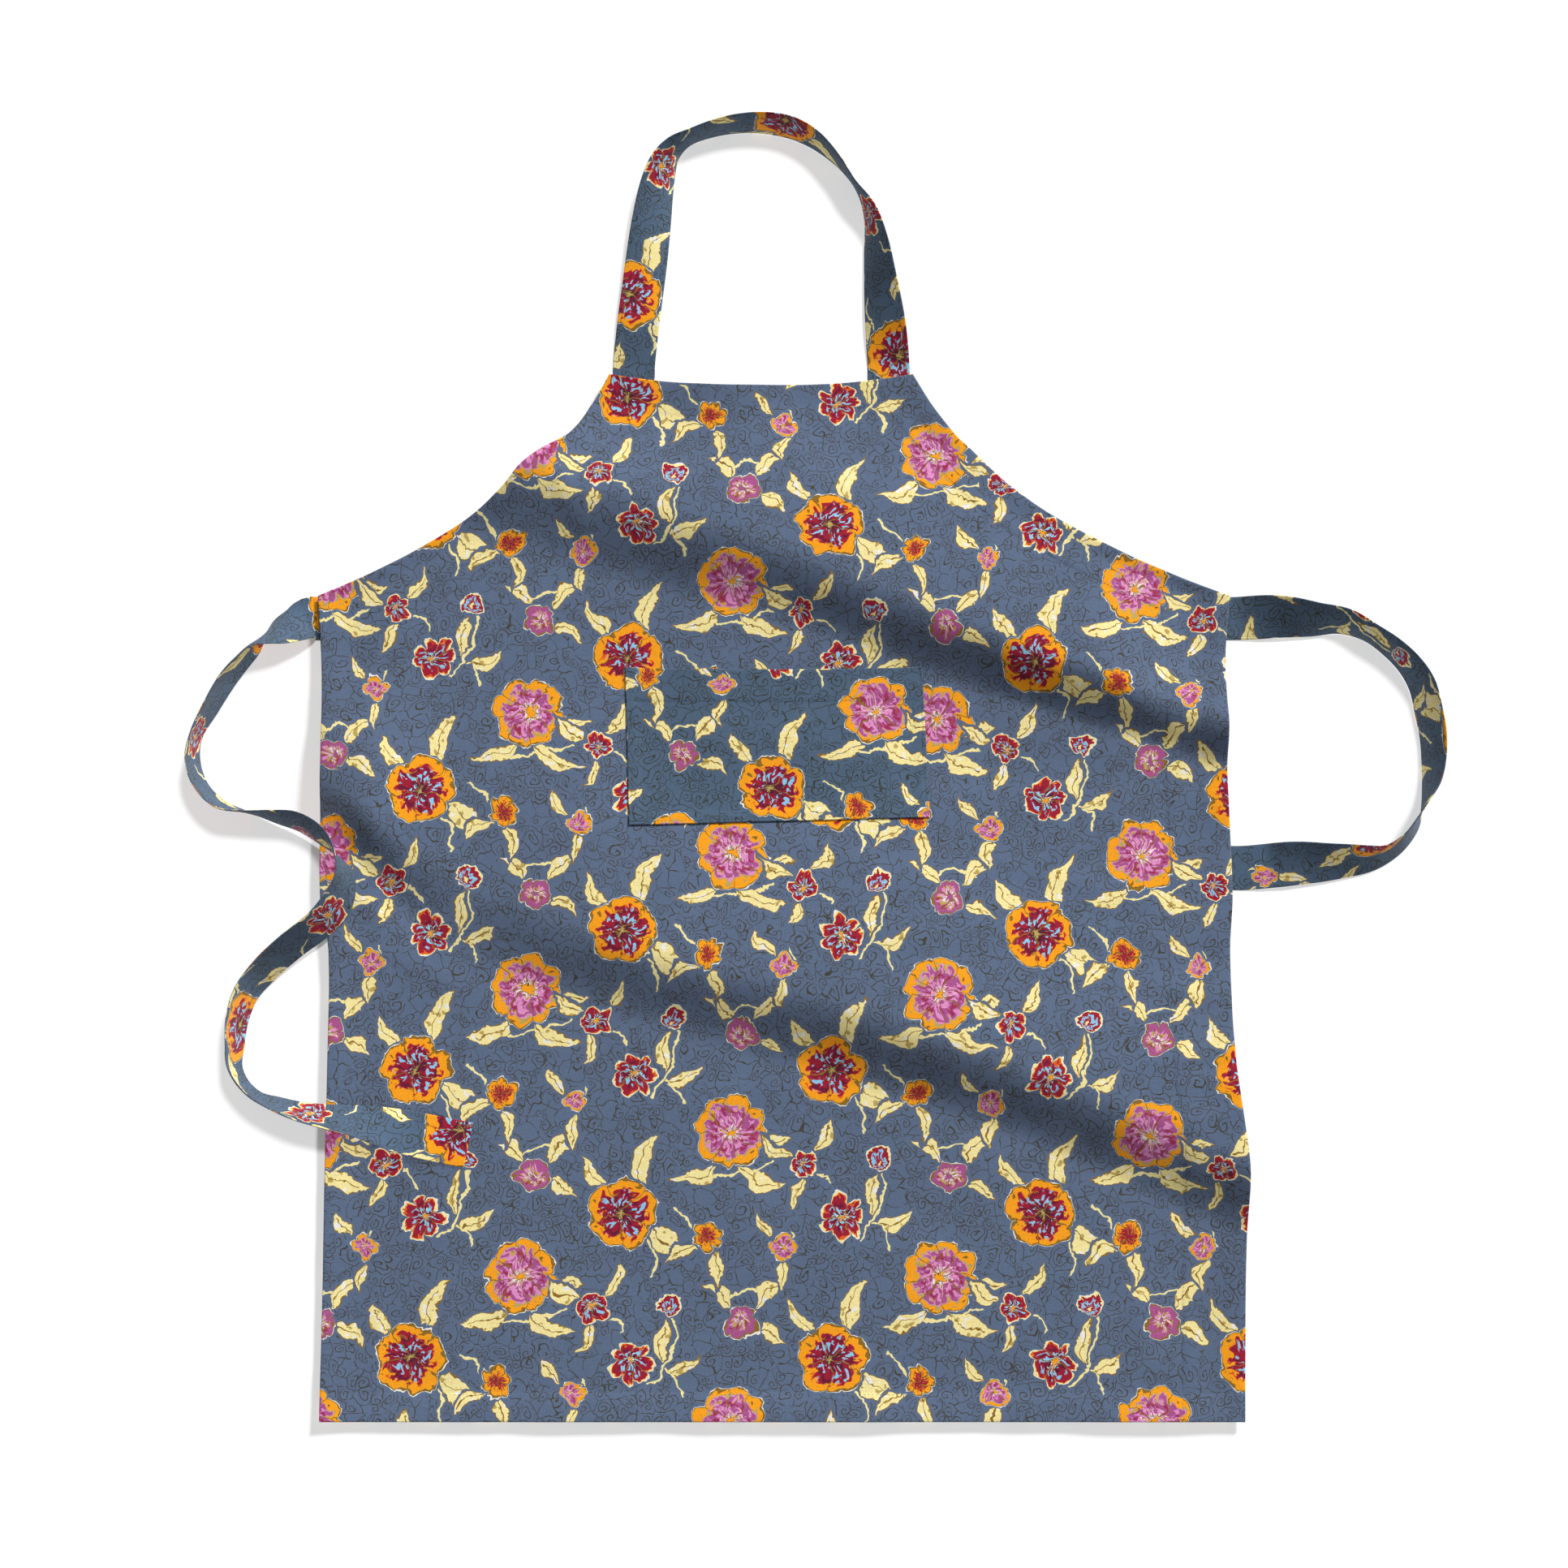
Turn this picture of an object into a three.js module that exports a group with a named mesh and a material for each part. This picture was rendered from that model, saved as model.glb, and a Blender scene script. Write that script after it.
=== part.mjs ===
// A cotton bib apron laid flat on a table: one cut panel, a patch pocket, a neck strap and two waist ties.
// Millimetres, +X to the right and +Y towards the neck as seen from the front, +Z out of the cloth's face.
import * as THREE from "three";

// Driving sizes of the panel
const skirtWidth = 728;
const sideHeight = 660;
const bibWidth = 252;
const bibHeight = 188;
const bibShift = -19;
const bibDip = 11;
const clothThickness = 1.0;
const hemThickness = 1.8;
const bottomHem = 22;
const topHem = 25;
const sideHem = 50;
const armholeFacing = 32;
const hemStep = 1.5;

// Driving sizes of the pocket
const pocketWidth = 243;
const pocketDepth = 128;
const pocketRise = 473;
const pocketShift = -6;
const pocketBulge = 7;
const pocketHem = 28;

// Driving sizes of the neck strap and the ties
const neckStrapWidth = 35;
const neckLoopHeight = 221;
const neckStrapSpread = 212;
const tieWidth = 36;
const strapThickness = 1.2;
const tieRise = 642;
const leftTieReach = 118;
const rightTieReach = 164;
const tuckDepth = 22;
const tieTuck = 265;
const flatRoot = 8;
const returnClimb = 0.661;

// Driving sizes of the folds that lie across the panel
const upperFoldHeight = 20;
const lowerFoldHeight = 21;
const foldSteep = 56;
const foldGentle = 130;
const foldFade = 90;

// Gaps between pieces that touch, between the panel's facets and the pocket's, and under a loosely lying tie
const clearance = 0.3;
const pocketClearance = 0.85;
const layClearance = 1.4;

// The pocket stands off the panel: its sewn share on each side, then the shares over which it rises
const pocketSewn = 0.02;
const pocketRiseAcross = 0.28;
const pocketRiseUp = 0.6;

// Where along an edge the hem's inner line turns towards its corner, and the highest place where the
// facing can begin, all as a climb of the edge
const lowerTurn = { from: 0.8, over: 0.2 };
const upperTurn = { from: 1.7, over: 0.3 };
const facingLimit = 1.6;

// The least curl of a band's section in radians, the least share of its width that rests, and the
// length after which a loose tie may lie over the panel
const leastCurl = 0.01;
const leastRest = 0.4;
const looseAfter = 3 * tuckDepth;

// How fine the facets are
const innerColumns = 28;
const bandStep = 13;
const bandFacets = 3;
const outlineStep = 0.002;
const routeSamples = 40;
const halvings = 40;
const pocketColumns = [0, 0.02, 0.07, 0.12, 0.17, 0.22, 0.3, 0.4, 0.5, 0.6, 0.7, 0.78, 0.83, 0.88, 0.93, 0.98, 1];
const pocketRows = [0, 0.02, 0.12, 0.22, 0.32, 0.42, 0.52, 0.62];
const pocketTopRows = [0.9, 1];

// How far the side edges lie outside half the skirt's width, in shares of that width, up the side
const sideLay = [
  { up: 0, left: 0, right: -0.004 },
  { up: 0.15, left: 0, right: 0 },
  { up: 0.29, left: 0.001, right: 0.004 },
  { up: 0.43, left: 0.001, right: -0.008 },
  { up: 0.56, left: 0.003, right: -0.009 },
  { up: 0.63, left: 0.014, right: -0.004 },
  { up: 0.8, left: 0.016, right: -0.006 },
  { up: 0.9, left: 0.018, right: -0.006 },
  { up: 1, left: 0.025, right: 0.002 },
];

// The armhole curves, from the side corner (reach 0) to the bib's corner (reach 1)
const armhole = [
  { rise: 0, left: 0, right: 0 },
  { rise: 0.1, left: 0.18, right: 0.19 },
  { rise: 0.2, left: 0.33, right: 0.36 },
  { rise: 0.35, left: 0.52, right: 0.56 },
  { rise: 0.48, left: 0.64, right: 0.69 },
  { rise: 0.57, left: 0.7, right: 0.76 },
  { rise: 0.65, left: 0.78, right: 0.815 },
  { rise: 0.72, left: 0.865, right: 0.865 },
  { rise: 0.86, left: 0.94, right: 0.94 },
  { rise: 1, left: 1, right: 1 },
];

// Cross lines of the panel that follow the folds: how far each has climbed its left and right edge,
// 0 to 1 up the side and 1 to 2 up the armhole
const crossLines = [
  { left: 0.1, right: 0.07 },
  { left: 0.2, right: 0.12 },
  { left: 0.32, right: 0.16 },
  { left: 0.44, right: 0.19 },
  { left: 0.54, right: 0.215 },
  { left: 0.6, right: 0.232 },
  { left: 0.628, right: 0.247 },
  { left: 0.656, right: 0.262 },
  { left: 0.684, right: 0.277 },
  { left: 0.712, right: 0.292 },
  { left: 0.75, right: 0.325 },
  { left: 0.79, right: 0.365 },
  { left: 0.84, right: 0.41 },
  { left: 0.89, right: 0.47 },
  { left: 0.95, right: 0.54 },
  { left: 1, right: 0.62 },
  { left: 1.1, right: 0.69 },
  { left: 1.24, right: 0.745 },
  { left: 1.38, right: 0.785 },
  { left: 1.415, right: 0.8 },
  { left: 1.45, right: 0.814 },
  { left: 1.485, right: 0.828 },
  { left: 1.52, right: 0.843 },
  { left: 1.565, right: 0.87 },
  { left: 1.61, right: 0.91 },
  { left: 1.655, right: 0.955 },
  { left: 1.7, right: 1 },
  { left: 1.745, right: 1.14 },
  { left: 1.785, right: 1.32 },
  { left: 1.82, right: 1.52 },
  { left: 1.845, right: 1.7 },
];

// Each fold's steep flank runs along its path; swell scales its height, spread its width
const folds = [
  {
    height: upperFoldHeight,
    path: [
      { across: -0.662, up: 0.875, swell: 0.75, spread: 1.35 },
      { across: -0.363, up: 0.832, swell: 0.95, spread: 1.25 },
      { across: 0, up: 0.787, swell: 1, spread: 1.05 },
      { across: 0.324, up: 0.731, swell: 1, spread: 0.95 },
      { across: 0.654, up: 0.682, swell: 1, spread: 0.8 },
      { across: 0.989, up: 0.633, swell: 0.95, spread: 0.8 },
    ],
  },
  {
    height: lowerFoldHeight,
    path: [
      { across: -1.033, up: 0.579, swell: 0.5, spread: 1.1 },
      { across: -0.923, up: 0.537, swell: 0.5, spread: 1.1 },
      { across: -0.824, up: 0.495, swell: 0.4, spread: 1.1 },
      { across: -0.67, up: 0.456, swell: 0.45, spread: 1.1 },
      { across: -0.396, up: 0.413, swell: 0.8, spread: 1.1 },
      { across: -0.049, up: 0.37, swell: 1, spread: 1.2 },
      { across: 0.247, up: 0.333, swell: 1, spread: 1.25 },
      { across: 0.613, up: 0.276, swell: 1, spread: 1.25 },
      { across: 1.008, up: 0.203, swell: 0.95, spread: 1.2 },
    ],
  },
];

// The neck strap's mid-line: across in shares of its ends' spread, up in shares of the loop's height,
// turn in degrees raises its outer edge, and curl bows its section, in degrees of arc
const neckRoute = [
  { across: -0.5, up: 0, turn: 0, curl: 0 },
  { across: -0.482, up: 0.198, turn: 4, curl: 0 },
  { across: -0.454, up: 0.415, turn: 10, curl: 10 },
  { across: -0.428, up: 0.596, turn: 27, curl: 20 },
  { across: -0.404, up: 0.718, turn: 44, curl: 30 },
  { across: -0.373, up: 0.792, turn: 59, curl: 35 },
  { across: -0.331, up: 0.843, turn: 74, curl: 35 },
  { across: -0.285, up: 0.893, turn: 84, curl: 30 },
  { across: -0.202, up: 0.935, turn: 84, curl: 25 },
  { across: -0.108, up: 0.957, turn: 82, curl: 25 },
  { across: 0.006, up: 0.961, turn: 79, curl: 30 },
  { across: 0.119, up: 0.942, turn: 75, curl: 25 },
  { across: 0.214, up: 0.894, turn: 76, curl: 20 },
  { across: 0.31, up: 0.804, turn: 82, curl: 20 },
  { across: 0.372, up: 0.713, turn: 86, curl: 20 },
  { across: 0.422, up: 0.607, turn: 69, curl: 30 },
  { across: 0.444, up: 0.49, turn: 55, curl: 30 },
  { across: 0.464, up: 0.337, turn: 40, curl: 25 },
  { across: 0.489, up: 0.157, turn: 16, curl: 10 },
  { across: 0.5, up: 0, turn: 0, curl: 0 },
];

// The ties' mid-lines: out in shares of each tie's reach beyond the skirt, up in shares of the side's height
const leftTieRoute = [
  { out: 0.295, up: 0.963, turn: 23, curl: 12 },
  { out: 0.409, up: 0.953, turn: 41, curl: 35 },
  { out: 0.499, up: 0.943, turn: 68, curl: 60 },
  { out: 0.576, up: 0.932, turn: 89, curl: 60 },
  { out: 0.656, up: 0.915, turn: 95, curl: 45 },
  { out: 0.745, up: 0.893, turn: 98, curl: 30 },
  { out: 0.854, up: 0.857, turn: 96, curl: 20 },
  { out: 0.948, up: 0.821, turn: 91, curl: 15 },
  { out: 0.963, up: 0.788, turn: 97, curl: 15 },
  { out: 0.894, up: 0.757, turn: 100, curl: 15 },
  { out: 0.745, up: 0.734, turn: 103, curl: 10 },
  { out: 0.571, up: 0.726, turn: 94, curl: 10 },
  { out: 0.388, up: 0.719, turn: 80, curl: 15 },
  { out: 0.221, up: 0.712, turn: 70, curl: 25 },
  { out: 0.064, up: 0.695, turn: 70, curl: 25 },
  { out: -0.046, up: 0.673, turn: 86, curl: 20 },
  { out: -0.104, up: 0.648, turn: 106, curl: 15 },
  { out: -0.061, up: 0.618, turn: 122, curl: 15 },
  { out: 0.057, up: 0.59, turn: 122, curl: 10 },
  { out: 0.243, up: 0.564, turn: 120, curl: 10 },
  { out: 0.411, up: 0.538, turn: 118, curl: 15 },
  { out: 0.549, up: 0.508, turn: 112, curl: 20 },
  { out: 0.607, up: 0.476, turn: 107, curl: 20 },
  { out: 0.621, up: 0.444, turn: 102, curl: 25 },
  { out: 0.621, up: 0.419, turn: 97, curl: 30 },
  { out: 0.566, up: 0.398, turn: 95, curl: 40 },
  { out: 0.467, up: 0.382, turn: 97, curl: 40 },
  { out: 0.334, up: 0.373, turn: 105, curl: 30 },
  { out: 0.182, up: 0.365, turn: 112, curl: 20 },
  { out: 0.001, up: 0.359, turn: 120, curl: 15 },
  { out: -0.233, up: 0.351, turn: 136, curl: 10 },
  { out: -0.475, up: 0.342, turn: 153, curl: 5 },
  { out: -0.728, up: 0.333, turn: 169, curl: 0 },
  { out: -0.925, up: 0.327, turn: 176, curl: 0 },
];
const rightTieRoute = [
  { out: 0.232, up: 0.974, turn: 20, curl: 10 },
  { out: 0.412, up: 0.969, turn: 49, curl: 20 },
  { out: 0.556, up: 0.961, turn: 67, curl: 35 },
  { out: 0.679, up: 0.947, turn: 79, curl: 40 },
  { out: 0.783, up: 0.929, turn: 77, curl: 35 },
  { out: 0.872, up: 0.907, turn: 74, curl: 25 },
  { out: 0.928, up: 0.883, turn: 70, curl: 20 },
  { out: 0.953, up: 0.854, turn: 68, curl: 20 },
  { out: 0.972, up: 0.823, turn: 69, curl: 20 },
  { out: 0.972, up: 0.793, turn: 72, curl: 20 },
  { out: 0.956, up: 0.763, turn: 80, curl: 20 },
  { out: 0.926, up: 0.739, turn: 94, curl: 15 },
  { out: 0.887, up: 0.715, turn: 106, curl: 15 },
  { out: 0.813, up: 0.691, turn: 109, curl: 20 },
  { out: 0.715, up: 0.675, turn: 113, curl: 25 },
  { out: 0.633, up: 0.67, turn: 123, curl: 20 },
  { out: 0.541, up: 0.668, turn: 132, curl: 15 },
  { out: 0.426, up: 0.666, turn: 144, curl: 10 },
  { out: 0.293, up: 0.665, turn: 161, curl: 0 },
  { out: 0.16, up: 0.663, turn: 180, curl: 0 },
  { out: 0.05, up: 0.661, turn: 180, curl: 0 },
];

// How the panel is raised over what is tucked beneath it: level this far round it, then falling away
const tuckMargin = 34;
const tuckFall = 26;

// The part of the bib's height over which its dipping top edge is felt, and how the pocket lies askew
const dipShare = 0.45;
const pocketLean = 5;
const pocketTilt = 7;
const pocketSag = 3;

function clamp01(value) {
  return Math.min(1, Math.max(0, value));
}

function ease(value) {
  const t = clamp01(value);
  return t * t * (3 - 2 * t);
}

function lerp(a, b, t) {
  return a + (b - a) * t;
}

// A smooth curve through one column of a table, read at a value of its key column
function column(table, key, name, at) {
  const last = table.length - 1;
  let i = 0;
  while (i < last - 1 && at > table[i + 1][key]) i += 1;
  const slope = (k) => {
    const a = table[Math.max(0, k - 1)];
    const b = table[Math.min(last, k + 1)];
    return (b[name] - a[name]) / (b[key] - a[key]);
  };
  const [a, b] = [table[i], table[i + 1]];
  const span = b[key] - a[key];
  const t = clamp01((at - a[key]) / span);
  const [m0, m1] = [slope(i) * span, slope(i + 1) * span];
  const rest = 1 - t;
  return (
    a[name] * (1 + 2 * t) * rest * rest + m0 * t * rest * rest + b[name] * t * t * (3 - 2 * t) - m1 * t * t * rest
  );
}

// The panel's outline

function cornerX(side) {
  return side * skirtWidth * (0.5 + column(sideLay, "up", side < 0 ? "left" : "right", 1));
}

function edgePoint(side, climb) {
  const name = side < 0 ? "left" : "right";
  if (climb <= 1) {
    return [side * skirtWidth * (0.5 + column(sideLay, "up", name, climb)), climb * sideHeight];
  }
  const bibX = bibShift + (side * bibWidth) / 2;
  const reach = column(armhole, "rise", name, climb - 1);
  return [lerp(cornerX(side), bibX, reach), sideHeight + (climb - 1) * bibHeight];
}

function inwardNormal(side, climb) {
  const [x0, y0] = edgePoint(side, Math.max(1 + outlineStep, climb - outlineStep));
  const [x1, y1] = edgePoint(side, Math.min(2, climb + outlineStep));
  const length = Math.hypot(x1 - x0, y1 - y0);
  return [(-side * (y1 - y0)) / length, (side * (x1 - x0)) / length];
}

function facingPoint(side, climb) {
  const [x, y] = edgePoint(side, climb);
  const [nx, ny] = inwardNormal(side, climb);
  return [x + nx * armholeFacing, y + ny * armholeFacing];
}

// Where the armhole's facing line meets the side hem's line, as a climb of the edge
function facingStart(side) {
  const target = Math.abs(cornerX(side)) - sideHem;
  let [low, high] = [1, facingLimit];
  for (let i = 0; i < halvings; i += 1) {
    const middle = (low + high) / 2;
    if (Math.abs(facingPoint(side, middle)[0]) > target) low = middle;
    else high = middle;
  }
  return low;
}

// The inner line of the hem and the facing, where a cross line of the panel meets it
function hemPoint(side, climb, slope, start) {
  if (climb <= 1) {
    const [x, y] = edgePoint(side, climb);
    const onLine = y - side * slope * sideHem;
    const towardsCorner = (y * facingPoint(side, start)[1]) / sideHeight;
    return [x - side * sideHem, lerp(onLine, towardsCorner, ease((climb - lowerTurn.from) / lowerTurn.over))];
  }
  const base = start + (2 - start) * (climb - 1);
  const [x, y] = edgePoint(side, base);
  const [nx, ny] = inwardNormal(side, base);
  const level = ease((climb - upperTurn.from) / upperTurn.over);
  const [dx, dy] = [lerp(nx, -side, level), lerp(ny, 0, level)];
  const length = armholeFacing / (dx * nx + dy * ny);
  return [x + dx * length, y + dy * length];
}

// The bib's top edge hangs a little in the middle
function dipped([x, y]) {
  const top = sideHeight + bibHeight;
  const across = clamp01(1 - ((x - bibShift) / (bibWidth / 2)) ** 2);
  return [x, y - bibDip * across * ease(1 - (top - y) / (dipShare * bibHeight))];
}

// Heights: folds, and what lies beneath the panel

function foldLift(fold, x, y) {
  const points = fold.path.map((row) => ({
    ...row,
    x: (row.across * skirtWidth) / 2,
    y: row.up * (sideHeight + bibHeight),
  }));
  let best = { gap: Infinity };
  for (let i = 0; i < points.length - 1; i += 1) {
    const [a, b] = [points[i], points[i + 1]];
    const [dx, dy] = [b.x - a.x, b.y - a.y];
    const length = Math.hypot(dx, dy);
    const along = ((x - a.x) * dx + (y - a.y) * dy) / length ** 2;
    const low = i === 0 ? -Infinity : 0;
    const high = i === points.length - 2 ? Infinity : 1;
    const t = Math.min(high, Math.max(low, along));
    const [px, py] = [a.x + dx * t, a.y + dy * t];
    const gap = Math.hypot(x - px, y - py);
    const side = Math.sign((y - a.y) * dx - (x - a.x) * dy);
    const share = clamp01(t);
    if (gap < best.gap) {
      best = { gap, side, swell: lerp(a.swell, b.swell, share), spread: lerp(a.spread, b.spread, share) };
    }
  }
  const steep = foldSteep * best.spread;
  const distance = best.gap * best.side;
  const rise = ease((distance + steep / 2) / steep);
  const fall = 1 - ease((distance - steep / 2) / (foldGentle * best.spread));
  return fold.height * best.swell * rise * fall;
}

const neckStrapX = [-1, 1].map((side) => bibShift + (side * neckStrapSpread) / 2);
const bibTop = sideHeight + bibHeight;
const tieReturn = { x: edgePoint(1, returnClimb)[0], y: returnClimb * sideHeight };

const tucks = [
  ...neckStrapX.map((x) => ({
    low: [x - neckStrapWidth / 2, bibTop - tuckDepth],
    high: [x + neckStrapWidth / 2, bibTop],
  })),
  ...[-1, 1].map((side) => {
    const x = edgePoint(side, tieRise / sideHeight)[0];
    const xs = [x, x - side * tuckDepth].sort((a, b) => a - b);
    return { low: [xs[0], tieRise - tieWidth / 2], high: [xs[1], tieRise + tieWidth / 2] };
  }),
  {
    low: [tieReturn.x - tieTuck, tieReturn.y - tieWidth / 2],
    high: [tieReturn.x, tieReturn.y + tieWidth / 2],
  },
];

function tuckLift(x, y) {
  let most = 0;
  for (const { low, high } of tucks) {
    const dx = Math.max(low[0] - x, 0, x - high[0]);
    const dy = Math.max(low[1] - y, 0, y - high[1]);
    most = Math.max(most, 1 - ease((Math.hypot(dx, dy) - tuckMargin) / tuckFall));
  }
  return most * (strapThickness + clearance);
}

// The folds die away towards the places where the strap and the ties are sewn on
function foldShare(x, y) {
  const gaps = tucks.slice(0, 4).map(({ low, high }) => {
    const dx = Math.max(low[0] - x, 0, x - high[0]);
    const dy = Math.max(low[1] - y, 0, y - high[1]);
    return Math.hypot(dx, dy);
  });
  return ease(Math.min(...gaps) / foldFade);
}

function panelLift(x, y) {
  const lift = folds.reduce((sum, fold) => sum + foldLift(fold, x, y), 0);
  return lift * foldShare(x, y) + tuckLift(x, y);
}

// Solids

// A cloth between an upper and a lower grid of points, closed round its edge
function clothSolid(upper, lower) {
  const rows = upper.length;
  const columns = upper[0].length;
  const at = (i, j) => i * columns + j;
  const count = rows * columns;
  const index = [];
  for (let i = 0; i < rows - 1; i += 1) {
    for (let j = 0; j < columns - 1; j += 1) {
      const [a, b, c, d] = [at(i, j), at(i, j + 1), at(i + 1, j + 1), at(i + 1, j)];
      index.push(a, b, c, a, c, d);
      index.push(count + a, count + c, count + b, count + a, count + d, count + c);
    }
  }
  const rim = [];
  for (let j = 0; j < columns - 1; j += 1) rim.push(at(0, j));
  for (let i = 0; i < rows - 1; i += 1) rim.push(at(i, columns - 1));
  for (let j = columns - 1; j > 0; j -= 1) rim.push(at(rows - 1, j));
  for (let i = rows - 1; i > 0; i -= 1) rim.push(at(i, 0));
  rim.forEach((a, k) => {
    const b = rim[(k + 1) % rim.length];
    index.push(count + a, count + b, b, count + a, b, a);
  });
  return solidGeometry([...upper.flat(), ...lower.flat()], index);
}

function solidGeometry(points, index) {
  const geometry = new THREE.BufferGeometry();
  geometry.setAttribute("position", new THREE.Float32BufferAttribute(points.flat(), 3));
  geometry.setIndex(index);
  const flat = geometry.toNonIndexed();
  flat.computeVertexNormals();
  return flat;
}

function panelGeometry() {
  const hemLines = [0, bottomHem / sideHeight, (bottomHem + hemStep) / sideHeight];
  const topLines = [2 - (topHem + hemStep) / bibHeight, 2 - topHem / bibHeight, 2];
  const lines = [
    ...hemLines.map((climb) => ({ left: climb, right: climb, hem: climb <= hemLines[1] })),
    ...crossLines,
    ...topLines.map((climb) => ({ left: climb, right: climb, hem: climb >= topLines[1] })),
  ];
  const [leftStart, rightStart] = [facingStart(-1), facingStart(1)];
  const upper = [];
  const lower = [];
  for (const line of lines) {
    const [[x0, y0], [x1, y1]] = [edgePoint(-1, line.left), edgePoint(1, line.right)];
    const slope = (y1 - y0) / (x1 - x0);
    const inner = [hemPoint(-1, line.left, slope, leftStart), hemPoint(1, line.right, slope, rightStart)];
    const length = Math.hypot(inner[1][0] - inner[0][0], inner[1][1] - inner[0][1]);
    const step = hemStep / length;
    const places = [
      { point: [x0, y0], hem: true },
      { point: inner[0], hem: true },
    ];
    for (let j = 0; j <= innerColumns; j += 1) {
      const t = lerp(step, 1 - step, j / innerColumns);
      places.push({ point: [lerp(inner[0][0], inner[1][0], t), lerp(inner[0][1], inner[1][1], t)] });
    }
    places.push({ point: inner[1], hem: true }, { point: [x1, y1], hem: true });
    const row = places.map(({ point, hem }) => {
      const [x, y] = dipped(point);
      const thickness = hem || line.hem ? hemThickness : clothThickness;
      return { x, y, z: panelLift(x, y), thickness };
    });
    upper.push(row.map((p) => [p.x, p.y, p.z + p.thickness]));
    lower.push(row.map((p) => [p.x, p.y, p.z]));
  }
  return clothSolid(upper, lower);
}

// A point of the pocket: u across from its left edge, v up from its bottom edge, both 0 to 1
function pocketPlace(u, v) {
  const x = pocketShift + (u - 0.5) * pocketWidth + (0.5 - v) * pocketLean;
  const arch = 4 * u * (1 - u);
  const y = pocketRise + v * pocketDepth + (1 - v) * (u - 0.5) * pocketTilt - v * arch * pocketSag;
  return [x, y];
}

function pocketGap(u, v) {
  const fromSides = ease((u - pocketSewn) / pocketRiseAcross) * ease((1 - pocketSewn - u) / pocketRiseAcross);
  return pocketClearance + pocketBulge * fromSides * ease((v - pocketSewn) / pocketRiseUp);
}

function pocketGeometry() {
  const hemLine = 1 - pocketHem / pocketDepth;
  const rows = [...pocketRows, hemLine - hemStep / pocketDepth, hemLine, ...pocketTopRows];
  const upper = [];
  const lower = [];
  for (const v of rows) {
    const thickness = v >= hemLine ? hemThickness : clothThickness;
    const row = pocketColumns.map((u) => {
      const [x, y] = pocketPlace(u, v);
      return [x, y, panelLift(x, y) + clothThickness + pocketGap(u, v)];
    });
    upper.push(row.map(([x, y, z]) => [x, y, z + thickness]));
    lower.push(row);
  }
  return clothSolid(upper, lower);
}

// Evenly spaced stations along a smooth line through a route's rows, each with its turn and curl
function stations(rows) {
  const curve = new THREE.CatmullRomCurve3(
    rows.map((row) => new THREE.Vector3(row.x, row.y, 0)),
    false,
    "centripetal",
  );
  const fine = routeSamples * (rows.length - 1);
  const samples = [];
  let travelled = 0;
  for (let k = 0; k <= fine; k += 1) {
    const point = curve.getPoint(k / fine);
    if (k > 0) travelled += Math.hypot(point.x - samples[k - 1].x, point.y - samples[k - 1].y);
    const at = (k / fine) * (rows.length - 1);
    const i = Math.min(rows.length - 2, Math.floor(at));
    samples.push({
      x: point.x,
      y: point.y,
      s: travelled,
      turn: lerp(rows[i].turn, rows[i + 1].turn, at - i),
      curl: lerp(rows[i].curl, rows[i + 1].curl, at - i),
    });
  }
  const count = Math.ceil(travelled / bandStep);
  const out = [];
  let k = 0;
  for (let i = 0; i <= count; i += 1) {
    const s = (travelled * i) / count;
    while (k < samples.length - 2 && samples[k + 1].s < s) k += 1;
    const [a, b] = [samples[k], samples[k + 1]];
    const t = clamp01((s - a.s) / (b.s - a.s));
    const mixed = {};
    for (const name of ["x", "y", "turn", "curl"]) mixed[name] = lerp(a[name], b[name], t);
    out.push({ ...mixed, s });
  }
  return out;
}

// The section of a band across its width, as offsets along its side and up, from its own mid-line
function bandSection(width, turn, curl) {
  const angle = THREE.MathUtils.degToRad(turn);
  const arc = Math.max(THREE.MathUtils.degToRad(curl), leastCurl);
  const radius = width / arc;
  const [upper, lower] = [[], []];
  for (let k = 0; k <= bandFacets; k += 1) {
    const theta = arc * (0.5 - k / bandFacets);
    for (const [list, offset] of [[upper, strapThickness / 2], [lower, -strapThickness / 2]]) {
      const a = (radius + offset) * Math.sin(theta);
      const b = (radius + offset) * Math.cos(theta) - radius * Math.cos(arc / 4);
      list.push([a * Math.cos(angle) - b * Math.sin(angle), a * Math.sin(angle) + b * Math.cos(angle)]);
    }
  }
  return [...upper, ...lower.reverse()];
}

// The height that a band has to clear at a place: the panel where the band lies over it, else the table
function supportUnder(x, y) {
  const climb = clamp01(y / sideHeight);
  const beside = edgePoint(-1, climb)[0] - tieWidth / 3;
  return x > beside ? panelLift(x, y) + hemThickness + layClearance : 0;
}

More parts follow.
